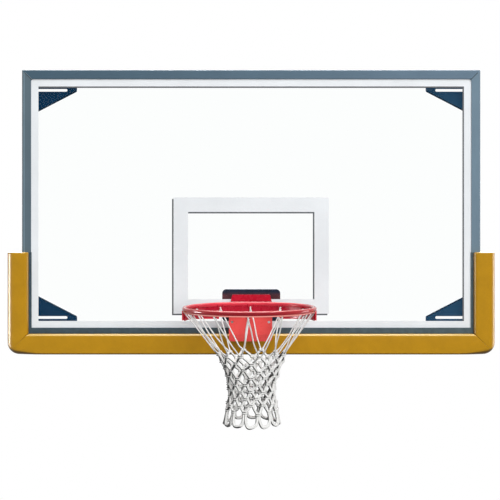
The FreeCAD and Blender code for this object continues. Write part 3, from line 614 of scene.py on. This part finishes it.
def tangents_of(path, closed):
    count = len(path)
    found = []
    for i in range(count):
        ahead = path[(i + 1) % count] if closed or i + 1 < count else path[i]
        behind = path[i - 1] if closed or i else path[i]
        found.append((ahead - behind).normalized())
    return found


def carried_frames(path, closed):
    """The path's tangents, and side directions that turn with it and, on a loop, meet themselves."""
    tangents = tangents_of(path, closed)
    sides = [tangents[0].orthogonal().normalized()]
    for before, after in zip(tangents, tangents[1:]):
        side = before.rotation_difference(after) @ sides[-1]
        sides.append((side - after * side.dot(after)).normalized())
    if closed:
        last = tangents[-1].rotation_difference(tangents[0]) @ sides[-1]
        twist = math.atan2(tangents[0].dot(last.cross(sides[0])), last.dot(sides[0]))
        for i, tangent in enumerate(tangents):
            sides[i] = Matrix.Rotation(twist * i / len(path), 3, tangent) @ sides[i]
    return tangents, sides


class Tubes:
    """Round tubes gathered into one mesh, with their turn and length as UV places."""

    def __init__(self):
        self.vertices, self.faces, self.corners = [], [], []

    def add(self, path, radii, sides, closed=False):
        tangents, fronts = carried_frames(path, closed)
        first = len(self.vertices)
        length = [0.0]
        for i, point in enumerate(path):
            across = tangents[i].cross(fronts[i])
            for j in range(sides):
                a = math.tau * j / sides
                self.vertices.append(point + (fronts[i] * math.cos(a) + across * math.sin(a)) * radii[i])
            gap = (path[(i + 1) % len(path)] - point).length
            length.append(length[-1] + gap / (math.tau * radii[i]))
        for i in range(len(path) if closed else len(path) - 1):
            self.band(first, i, (i + 1) % len(path), sides, length)
        if not closed:
            self.cap(first, sides, 0, reverse=True)
            self.cap(first, sides, len(path) - 1, reverse=False)

    def band(self, first, row, following, sides, length):
        low = first + row * sides
        high = first + following * sides
        for j in range(sides):
            k = (j + 1) % sides
            self.faces.append((low + j, low + k, high + k, high + j))
            self.corners += [(j / sides, length[row]), ((j + 1) / sides, length[row]),
                             ((j + 1) / sides, length[row + 1]), (j / sides, length[row + 1])]

    def cap(self, first, sides, row, reverse):
        ring = [first + row * sides + j for j in range(sides)]
        self.faces.append(ring[::-1] if reverse else ring)
        self.corners += [(0.5, 0.0)] * sides

    def piece(self, name, slot, material=None):
        return add_mesh(name, self.vertices, self.faces, slot, material, self.corners, TUBE_SHARP)


def smooth_loop(points, steps):
    """Points along a smooth closed curve, a Catmull-Rom one, through the given points."""
    count = len(points)
    found = []
    for i in range(count):
        a, b, c, d = (points[(i + ahead) % count] for ahead in (-1, 0, 1, 2))
        for k in range(steps):
            t = k / steps
            found.append(0.5 * ((2 * b) + (c - a) * t + (2 * a - 5 * b + 4 * c - d) * t ** 2
                                + (3 * b - a - 3 * c + d) * t ** 3))
    return found


# Padding

class PadCorner:
    """Lower right corner of the padding: lines of equal share run round it on growing arcs."""

    def __init__(self):
        leg_low, leg_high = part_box("pad_right")
        run_low, run_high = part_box("pad_bottom_right")
        self.inner = Vector((leg_low.x, 0, run_high.z))
        self.outer = Vector((leg_high.x, 0, run_low.z))
        self.top = leg_high.z
        self.front, self.rear = leg_low.y, leg_high.y

    def bend(self, share):
        """Where the line of that share would turn if it were sharp, and its radius there."""
        grown = max(0.0, (share - CREASE_SHARP) / (1 - CREASE_SHARP))
        radius = CREASE_R + (PAD_CORNER_R - CREASE_R) * min(1.0, grown) ** CREASE_GROWTH
        return self.inner + (self.outer - self.inner) * share, radius

    def place(self, share, distance, along, other):
        """Point at a distance from the crease on the line of that share."""
        corner, radius = self.bend(share)
        arc = radius * math.pi / 4
        if distance < arc:
            a = math.pi / 4 - distance / radius
            return corner + (along + other - other * math.cos(a) - along * math.sin(a)) * radius
        return corner + along * (radius + distance - arc)

    def reach(self, share, along, end):
        """Length of that line from the crease to the end of its arm."""
        corner, radius = self.bend(share)
        return abs((end - corner).dot(along)) - radius + radius * math.pi / 4


class PadArm:
    """One arm of the padding on the right, from the crease at the corner to its rounded end."""

    def __init__(self, along, other, end, end_r, far_r):
        self.corner = PadCorner()
        self.along, self.other = along, other
        self.end, self.end_r = end, end_r
        self.far_r = far_r
        inner, outer = self.corner.inner, self.corner.outer
        board = Vector((BOARD_X + PAD_FIT, 0, -BOARD_Z - PAD_FIT))
        self.width = abs((outer - inner).dot(other))
        self.seat = abs((board - inner).dot(other)) / self.width
        self.steps = round(self.length(0.5) / PAD_ROW)
        self.middle_rows = self.rows(0.5)

    def length(self, share):
        """Length of the line of that share, less the seam at the crease."""
        return self.corner.reach(share, self.along, self.end) - PAD_SEAM

    def rows(self, share):
        """Places of the rows along that line: close together at the crease and at the rounded end."""
        length = self.length(share)
        near = CREASE_ROWS[-1]
        rows = list(CREASE_ROWS)
        for k in range(1, self.steps):
            rows.append(near + (length - self.end_r - near) * k / self.steps)
        for k in range(PAD_ARC_STEPS, -1, -1):
            rows.append(length - self.end_r * (1 - math.cos(math.pi / 2 * k / PAD_ARC_STEPS)))
        return rows

    def quarter(self, share, y, radius, start, inward_share, inward_y):
        """Round edge of the section that stands at a share and a depth, from a starting angle."""
        points = []
        for k in range(PAD_ARC_STEPS + 1):
            a = math.radians(start + 90 * k / PAD_ARC_STEPS)
            out_share, out_y = math.cos(a), math.sin(a)
            points.append((share + (inward_share + out_share) * radius / self.width,
                           y + (inward_y + out_y) * radius, out_share, out_y))
        return points

    def section(self, row):
        """Outline round the arm as (share from lip to outer side, y, outward share, outward y)."""
        front, rear = self.corner.front, self.corner.rear
        seat_y = FRAME_FRONT - PAD_FIT
        blend = eased(min(1.0, self.middle_rows[row] / PAD_BLEND))
        edge_r = PAD_LEG_R + (self.far_r - PAD_LEG_R) * blend
        lip = PAD_LIP_R / self.width
        outline = self.quarter(0.0, front + PAD_CROWN, PAD_LIP_R, 180, 1, 1)
        for k in range(1, PAD_FACE_STEPS):
            share = k / PAD_FACE_STEPS
            y = front + PAD_CROWN * (2 * share - 1) ** 2
            outline.append((lip + (1 - lip - edge_r / self.width) * share, y, 0, -1))
        outline += self.quarter(1.0, front + PAD_CROWN, edge_r, 270, -1, 1)
        outline += self.quarter(1.0, rear, PAD_REAR_R, 0, -1, -1)
        outline += [(self.seat, y, 0, 0) for y in (rear, (rear + seat_y) / 2, seat_y)]
        outline.append((PAD_LIP_TUCK / self.width, seat_y, 0, 0))
        outline.append((0.0, seat_y - PAD_LIP_TUCK, -1, 0))
        return outline

    def point(self, row, share, y, out_share, out_y):
        """Point of one row and share, drawn in at the crease and at the rounded end."""
        length = self.length(share)
        distance = self.rows(share)[row]
        left = length - distance
        at_end = left < self.end_r
        inset = 0.0
        if at_end:
            inset = self.end_r - math.sqrt(self.end_r ** 2 - (self.end_r - left) ** 2)
        if distance < CREASE_REACH:
            fall = 1 - distance / CREASE_REACH
            inset += CREASE_DEPTH * fall ** 2 * max(0.0, 1 - share / CREASE_END)
        moved = share - inset * out_share / self.width
        slip = self.length(moved) - length if at_end else 0.0
        point = self.corner.place(moved, distance + PAD_SEAM + slip, self.along, self.other)
        return point.x, y - inset * out_y, point.z


def make_pad(name, node, arm, side):
    """One moulded pad; side is +1 on the right and -1 for its mirror image on the left."""
    vertices = []
    rows = len(arm.middle_rows)
    for row in range(rows):
        for place in arm.section(row):
            x, y, z = arm.point(row, *place)
            vertices.append((side * x, y, z))
    faces = skin(0, rows, len(vertices) // rows)
    if (side > 0) != (arm.along.z > 0):
        faces = flipped(faces)
    piece = add_mesh(name, vertices, faces, "pad_foam")
    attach(piece, "board")
    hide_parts(node)


def make_padding():
    up, inward = Vector((0, 0, 1)), Vector((-1, 0, 0))
    top = Vector((0, 0, PadCorner().top))
    middle = Vector((PAD_SEAM, 0, 0))
    leg = PadArm(up, inward, top, PAD_TOP_R, PAD_LEG_R)
    run = PadArm(inward, up, middle, PAD_MEETING_R, PAD_RUN_R)
    for side, word in ((1, "right"), (-1, "left")):
        make_pad("padding_leg_" + word, "pad_" + word, leg, side)
        make_pad("padding_run_" + word, "pad_bottom_" + word, run, side)


# Net

def about_ring(radius, turn, drop):
    """Point about the ring's axis; turn 0 is the play side."""
    return RING_CENTRE + Vector((radius * math.sin(turn), -radius * math.cos(turn), -drop))


def hanging(radius, turn, drop):
    """Point of the net, which sways a little to the right on its way down."""
    share = max(0.0, min(1.0, (drop - NET_SWAY_START) / NET_KNOT_DROP))
    return about_ring(radius, turn, drop) + Vector((NET_SWAY * eased(share), 0, 0))


def net_radius(drop):
    """Radius of the net at a depth below the ring's rod."""
    if drop <= NET_NECK_DROP:
        share = (drop - NET_KNOT_DROP) / (NET_NECK_DROP - NET_KNOT_DROP)
        return NET_NECK_R + (NET_KNOT_R - NET_NECK_R) * (1 - share) ** 2
    share = (drop - NET_NECK_DROP) / (NET_FOOT_DROP - NET_NECK_DROP)
    return NET_NECK_R + (NET_FOOT_R - NET_NECK_R) * share


def knot_places(chance):
    """Turn, radius and depth of every knot, by half column and row, a little uneven."""
    step = (NET_ROW_END_DROP - NET_KNOT_DROP) / NET_HALF_ROWS
    places = {}
    for row in range(NET_HALF_ROWS + 1):
        drop = NET_KNOT_DROP + row * step
        for i in range(LOOP_COUNT):
            half = 2 * i + (1 if row % 2 == 0 else 0)
            turn = half * HALF_COLUMN + chance.uniform(-NET_TURN_PLAY, NET_TURN_PLAY)
            deep = drop + chance.uniform(-NET_DROP_PLAY, NET_DROP_PLAY)
            radius = net_radius(drop) + chance.uniform(-NET_RADIUS_PLAY, NET_RADIUS_PLAY)
            places[half, row] = (turn, radius, deep)
    return places


def over_wire(base):
    """Bend of the cord over the loop's lowest wire, from its inner to its outer side."""
    reach = LOOP_WIRE_R + TOP_CORD_R
    bend = []
    for degrees in LOOP_BEND:
        a = math.radians(degrees)
        point = hanging(LOOP_RING_R - math.cos(a) * reach, base, LOOP_DROP - math.sin(a) * reach)
        bend.append((point, TOP_CORD_R))
    return bend


def diamonds(column, side, places):
    """Cord through the knots of one side of a column, beside the neighbour that each knot ties it to."""
    pairs = []
    for row in range(NET_HALF_ROWS + 1):
        even = row % 2 == 0
        half = 2 * column + (side if even else 0)
        turn, radius, deep = places[half % (2 * LOOP_COUNT), row]
        if half < 0:
            turn -= math.tau
        lean = -side if even else side
        thick = (TOP_CORD_R + CORD_R) / 2 if row == 0 else CORD_R
        pairs.append((hanging(radius, turn + lean * NET_PAIR_GAP / radius, deep), thick))
    return pairs


def top_strand(start, knot, chance):
    """Thin strand from beside the loop's wire to its first knot, with a little sag."""
    pairs = [(start, TOP_CORD_R)]
    for share, sag in NET_SAG_PLACES:
        drift = Vector((chance.uniform(-1, 1), chance.uniform(-1, 1), 0)) * NET_STRAND_PLAY
        pairs.append((start.lerp(knot, share) + drift - Vector((0, 0, NET_SAG * sag)), TOP_CORD_R))
    return pairs


def foot_side(base, side, low):
    """Rounded side of a foot loop that ends at the given depth below the last knots."""
    pairs = []
    for k in range(1, NET_FOOT_STEPS):
        a = math.pi / 2 * k / NET_FOOT_STEPS
        drop = NET_ROW_END_DROP + low * math.sin(a) ** NET_FOOT_ROUND
        turn = base + side * math.cos(a) ** NET_FOOT_ROUND * HALF_COLUMN * NET_FOOT_SPAN
        pairs.append((hanging(net_radius(drop), turn, drop), FOOT_CORD_R))
    return pairs


def column_side(column, side, places, chance):
    """Cord from beside a loop's wire down to the foot, as (point, radius) pairs, and the foot's depth."""
    base = 2 * column * HALF_COLUMN
    start = hanging(LOOP_RING_R + side * (LOOP_WIRE_R + TOP_CORD_R), base, LOOP_DROP + LOOP_CLEAR)
    knotted = diamonds(column, side, places)
    strand = top_strand(start, knotted[0][0], chance)
    low = NET_FOOT_DROP - NET_ROW_END_DROP + chance.uniform(-NET_FOOT_PLAY, 0.0)
    return strand + knotted + foot_side(base, side, low), NET_ROW_END_DROP + low


def column_loop(column, places, chance):
    """Closed cord of one column: over the wire, down one side, round the foot and up the other."""
    base = 2 * column * HALF_COLUMN
    right, right_low = column_side(column, 1, places, chance)
    left, left_low = column_side(column, -1, places, chance)
    low = (right_low + left_low) / 2
    foot = (hanging(net_radius(low), base, low), FOOT_CORD_R)
    return over_wire(base) + right + [foot] + left[::-1]


def wrap_knot(tubes, place, chance):
    """Turns of cord drawn tight round two cords that meet."""
    turn, radius, deep = place
    centre = hanging(radius, turn, deep)
    outward = Vector((math.sin(turn), -math.cos(turn), 0))
    across = Vector((math.cos(turn), math.sin(turn), 0))
    lean = chance.uniform(-WRAP_LEAN, WRAP_LEAN)
    path = []
    for k in range(WRAP_STEPS + 1):
        share = k / WRAP_STEPS
        a = math.tau * WRAP_TURNS * share + lean
        tuck = WRAP_TUCK if k in (0, WRAP_STEPS) else 1.0
        spot = across * (WRAP_WIDE * tuck * math.cos(a)) + outward * (WRAP_DEEP * tuck * math.sin(a))
        path.append(centre + spot + Vector(DOWN) * ((share - 0.5) * WRAP_HIGH))
    tubes.add(path, [WRAP_R] * len(path), WRAP_SIDES)


def make_net():
    chance = random.Random(NET_SEED)
    places = knot_places(chance)
    tubes = Tubes()
    for column in range(LOOP_COUNT):
        loop = column_loop(column, places, chance)
        radii = []
        for i, (_, radius) in enumerate(loop):
            following = loop[(i + 1) % len(loop)][1]
            radii += [radius + (following - radius) * k / NET_SMOOTH for k in range(NET_SMOOTH)]
        path = smooth_loop([point for point, _ in loop], NET_SMOOTH)
        tubes.add(path, radii, NET_SIDES, closed=True)
    for place in places.values():
        wrap_knot(tubes, place, chance)
    net = tubes.piece("knotted_net", "net_cord")
    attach(net, "rim")
    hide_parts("net")


# Spring

def make_spring():
    """Coil with closed end turns between the board and the goal."""
    low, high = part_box("breakaway_spring")
    radius = (high.x - low.x) / 2 - SPRING_WIRE_R
    centre_z = (low.z + high.z) / 2
    start = high.y - SPRING_WIRE_R
    end = low.y + SPRING_WIRE_R
    dead = 2 * SPRING_WIRE_R
    path = []
    for k in range((SPRING_TURNS + 1) * SPRING_STEPS + 1):
        turns = k / SPRING_STEPS
        if turns < 1:
            y = start - dead * turns
        elif turns > SPRING_TURNS:
            y = end + dead * (SPRING_TURNS + 1 - turns)
        else:
            y = start - dead - (start - end - 2 * dead) * (turns - 1) / (SPRING_TURNS - 1)
        a = math.tau * turns
        path.append(Vector((radius * math.cos(a), y, centre_z + radius * math.sin(a))))
    tubes = Tubes()
    tubes.add(path, [SPRING_WIRE_R] * len(path), SPRING_SIDES)
    piece = tubes.piece("coil_spring", "spring_steel")
    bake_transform(piece)
    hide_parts("breakaway_spring")


# Trim of the board

def prism(outline, y0, y1):
    """Flat piece from an outline of (x, z) points, between two depths."""
    count = len(outline)
    vertices = [(x, y, z) for y in (y0, y1) for x, z in outline]
    faces = [tuple(range(count)), tuple(range(2 * count - 1, count - 1, -1))]
    for i in range(count):
        k = (i + 1) % count
        faces.append((i, i + count, k + count, k))
    return vertices, faces


def flat_piece(name, outlines, y0, y1, slot, material):
    """Piece on the board made of flat outlines, each turned so that its faces look outward."""
    vertices, faces = [], []
    for outline in outlines:
        turned = sum(a[0] * b[1] - b[0] * a[1] for a, b in zip(outline, outline[1:] + outline[:1]))
        points, sides = prism(outline if turned > 0 else outline[::-1], y0, y1)
        faces += [tuple(i + len(vertices) for i in side) for side in sides]
        vertices += points
    piece = add_mesh(name, vertices, faces, slot, material)
    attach(piece, "board")


def angle_strip(corner_x, corner_z, end_x, end_z, width):
    """Outline of an L from a corner along X and Z, its width towards the far ends."""
    sx = math.copysign(width, end_x - corner_x)
    sz = math.copysign(width, end_z - corner_z)
    return [(corner_x, corner_z), (end_x, corner_z), (end_x, corner_z + sz), (corner_x + sx, corner_z + sz),
            (corner_x + sx, end_z), (corner_x, end_z)]


def make_drop_shadows():
    """Thin dark lines along the lower and left sides of the white stripes, a painted drop shadow."""
    low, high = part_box("target_stripe")
    rear = GLASS_FRONT - DROP_SHADOW_GAP
    x, z = BOARD_X - BORDER_BAND, BOARD_Z - BORDER_BAND
    border = angle_strip(x, z, -x, -z, DROP_SHADOW_W)
    outer = angle_strip(low.x - DROP_SHADOW_W, low.z - DROP_SHADOW_W, high.x - DROP_SHADOW_W, high.z - DROP_SHADOW_W,
                        DROP_SHADOW_W)
    inner = angle_strip(high.x - TARGET_BAND, high.z - TARGET_BAND, low.x + TARGET_BAND,
                        low.z + TARGET_BAND, DROP_SHADOW_W)
    flat_piece("border_drop_shadow", [border], low.y, rear, "stripe_print", "drop_shadow_paint")
    flat_piece("target_drop_shadows", [outer, inner], low.y, rear, "stripe_print", "drop_shadow_paint")


def mitre_line(side, shift):
    """Outline along an upper mitre of the frame, moved across it."""
    face = BOARD_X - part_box("frame_right")[0].x
    half = SEAM_W / 2
    x0, z0 = side * (BOARD_X - SEAM_INSET) + shift, BOARD_Z - SEAM_INSET - side * shift
    x1, z1 = side * (BOARD_X - face) + shift, BOARD_Z - face - side * shift
    return [(x0 - half, z0 + side * half), (x0 + half, z0 - side * half), (x1 + half, z1 - side * half),
            (x1 - half, z1 + side * half)]


def make_seams():
    """Dark line along each upper mitre of the frame's front, with a painted highlight strip beside the left
    one.
    """
    front = FRAME_FRONT - SEAM_T
    dark = [mitre_line(-1, 0.0), mitre_line(1, 0.0)]
    highlight_strip = [mitre_line(-1, SEAM_W)]
    flat_piece("mitre_seams", dark, front, FRAME_FRONT, "frame_paint", "seal_rubber")
    flat_piece("mitre_highlight", highlight_strip, front, FRAME_FRONT, "frame_paint", "frame_paint")


def make_pad_shade_strips():
    """Flat dark strip of painted shade on the frame's face between the padding and the glass."""
    corner = PadCorner()
    outer_x = corner.inner.x + SHADE_STRIP_FIT
    inner_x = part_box("frame_right")[0].x + SHADE_STRIP_FIT
    low_z = corner.inner.z - SHADE_STRIP_FIT
    high_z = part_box("frame_bottom")[1].z - SHADE_STRIP_FIT
    outlines = [[(-outer_x, low_z), (outer_x, low_z), (outer_x, high_z), (-outer_x, high_z)]]
    for side in (-1, 1):
        outlines.append([(side * inner_x, high_z), (side * outer_x, high_z), (side * outer_x, corner.top),
                         (side * inner_x, corner.top)])
    flat_piece("padding_shade_strip", outlines, FRAME_FRONT - SHADE_STRIP_T, FRAME_FRONT, "seal_rubber", "pad_shade_paint")


def make_gusset_lips():
    """Folded lip along the free edge of each gusset, painted dark as shade."""
    low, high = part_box("gusset_top_right")
    face = high.y - GUSSET_PLATE
    start = Vector((low.x, high.z - GUSSET_TIP))
    end = Vector((high.x, low.z))
    way = (end - start).normalized()
    start += way * LIP_MARGIN
    end -= way * GUSSET_PLATE
    inward = Vector((-way.y, way.x)) * LIP_W
    corner = [start, end, end + inward, start + inward]
    outlines = [[(sx * x, sz * z) for x, z in corner] for sx in (-1, 1) for sz in (-1, 1)]
    flat_piece("gusset_lips", outlines, face - LIP_T, face - LIP_FIT, "gusset_paint", "lip_shade_paint")


# Trim of the goal

def make_under_rod():
    """Thin rod welded under the front half of the ring."""
    reach = ROD_R + UNDER_ROD_R - UNDER_ROD_SINK
    drop = math.sqrt(reach ** 2 - UNDER_ROD_OUT ** 2)
    path = []
    for k in range(UNDER_ROD_STEPS + 1):
        turn = math.radians(UNDER_ROD_REACH * (2 * k / UNDER_ROD_STEPS - 1))
        path.append(about_ring(RING_R + UNDER_ROD_OUT, turn, drop))
    tubes = Tubes()
    tubes.add(path, [UNDER_ROD_R] * len(path), UNDER_ROD_SIDES)
    # Its pale pink colour is a painted highlight.
    rod = tubes.piece("under_rod", "goal_paint", "rod_highlight_paint")
    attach(rod, "rim")


def make_brace_laps():
    """Strip welded outside each end of the ring's brace, flush with the rod and deeper to the rear."""
    outer = RING_R + ROD_R - LAP_INSET
    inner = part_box("ring_brace")[1].x + LAP_INSET
    vertices, faces = [], []
    for side in (-1, 1):
        first = len(vertices)
        for k in range(LAP_STEPS + 1):
            share = k / LAP_STEPS
            turn = side * math.radians(LAP_START + LAP_SPAN * share)
            low = LAP_LOW_FRONT + (LAP_LOW_REAR - LAP_LOW_FRONT) * share
            section = ((inner, LAP_TOP), (outer, LAP_TOP), (outer, low), (inner, low))
            vertices += [about_ring(radius, turn, drop) for radius, drop in section]
        strip = skin(first, LAP_STEPS + 1, len(section))
        faces += strip if side > 0 else flipped(strip)
    laps = add_mesh("brace_laps", vertices, faces, "goal_paint", "ring_paint")
    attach(laps, "rim")


# Stage

def seen_rays(tree):
    """1 where the background is seen by the camera, in a reflection or through the glass."""
    path = tree.nodes.new("ShaderNodeLightPath")
    rays = path.outputs["Is Camera Ray"]
    for name in ("Is Glossy Ray", "Is Transmission Ray"):
        rays = operate(tree, "Math", "MAXIMUM", rays, path.outputs[name]).outputs["Value"]
    return rays


def make_world():
    """White behind the object and in its reflections, with plain light from all round."""
    world = bpy.data.worlds.new("studio")
    bpy.context.scene.world = world
    world.use_nodes = True
    tree = world.node_tree
    light = tree.nodes["Background"]
    set_inputs(light, {"Color": WHITE, "Strength": SOFT_LIGHT})
    seen = tree.nodes.new("ShaderNodeBackground")
    set_inputs(seen, {"Color": WHITE})
    mix_shaders(tree, seen_rays(tree), light.outputs["Background"], seen.outputs["Background"],
                "World Output")


def add_lamp(name, data, place):
    """Lamp at a place, turned to the board."""
    lamp = bpy.data.objects.new(name, data)
    lamp.location = place
    lamp.rotation_euler = (AIM - Vector(place)).to_track_quat("-Z", "Y").to_euler()
    bpy.context.scene.collection.objects.link(lamp)
    return lamp


def make_key(place, strength, spread):
    """Even light from one side of the camera."""
    data = bpy.data.lights.new("key", "SUN")
    data.energy = strength
    data.angle = math.radians(spread)
    key = add_lamp("key", data, place)
    key.visible_glossy = False
    key.visible_transmission = False


def make_panel(name, place, wide, high, power):
    """Soft lamp that shows neither by itself nor through the glass."""
    data = bpy.data.lights.new(name, "AREA")
    data.shape = "RECTANGLE"
    data.size = wide
    data.size_y = high
    data.energy = power
    panel = add_lamp(name, data, place)
    panel.visible_camera = False
    panel.visible_transmission = False
    return panel


def make_glint(name, place, wide, high, power):
    """Panel that shows in shiny edges only."""
    panel = make_panel(name, place, wide, high, power)
    panel.visible_diffuse = False


def make_floor_material(name):
    """Pale floor that grows white towards its rim, where the background begins."""
    finish = Finish(name, Roughness=0.8)
    finish.drive("Base Color", finish.shades(finish.noise(2.0), WHITE, 0.86, 0.9))
    away = operate(finish.tree, "VectorMath", "LENGTH", finish.where).outputs["Value"]
    share = finish.mapped(away, FLOOR_R / 4, FLOOR_R, 0.4, 1.0)
    white = finish.node("Emission", Strength=1.0).outputs["Emission"]
    finish.mixed(finish.math("MULTIPLY", share, seen_rays(finish.tree)), white)


def make_floor():
    """Round floor at its real depth below the ring."""
    rim = []
    for i in range(FLOOR_SIDES):
        a = math.tau * i / FLOOR_SIDES
        rim.append((FLOOR_R * math.cos(a), FLOOR_R * math.sin(a), 0))
    make_floor_material("floor")
    mesh = bpy.data.meshes.new("floor")
    mesh.from_pydata(rim, [], [tuple(range(FLOOR_SIDES))])
    mesh.materials.append(MATERIALS["floor"])
    floor = bpy.data.objects.new("floor", mesh)
    floor.location.z = RING_HIGH.z - RING_HEIGHT
    bpy.context.scene.collection.objects.link(floor)


def make_camera():
    data = bpy.data.cameras.new("camera")
    data.sensor_width = SENSOR_MM
    data.lens = FOCAL_PX * SENSOR_MM / IMAGE_SIZE
    data.shift_x = (IMAGE_SIZE / 2 - CENTRE_PX - CAMERA_X * FOCAL_PX / CAMERA_TO_GLASS) / IMAGE_SIZE
    data.shift_y = (HORIZON_PX - IMAGE_SIZE / 2) / IMAGE_SIZE
    camera = bpy.data.objects.new("camera", data)
    camera.location = (CAMERA_X, GLASS_FRONT - CAMERA_TO_GLASS, CAMERA_Z)
    camera.rotation_euler = (math.pi / 2, 0, 0)
    bpy.context.scene.collection.objects.link(camera)
    bpy.context.scene.camera = camera


def make_stage():
    make_world()
    make_key(place=(2.0, -7.0, 2.4), strength=2.35, spread=45.0)
    make_panel("sky", place=(0.5, -1.6, 3.4), wide=3.0, high=3.0, power=55)
    make_panel("back", place=(1.8, 3.6, 2.2), wide=2.5, high=2.5, power=60)
    make_glint("left", place=(-4.0, -0.2, -0.55), wide=1.3, high=1.8, power=380)
    make_glint("right", place=(4.0, 1.0, -0.55), wide=1.3, high=1.8, power=110)
    make_glint("top", place=(0.0, 0.2, 2.8), wide=4.0, high=3.0, power=600)
    make_glint("rim", place=(0.0, 2.8, 2.4), wide=6.0, high=3.2, power=1800)
    make_floor()
    make_camera()
    bpy.context.scene.view_settings.view_transform = "Standard"


make_board_materials()
make_rail_materials()
make_goal_materials()
dress_nodes()
make_padding()
make_net()
make_spring()
make_drop_shadows()
make_seams()
make_pad_shade_strips()
make_under_rod()
make_brace_laps()
make_gusset_lips()
make_stage()
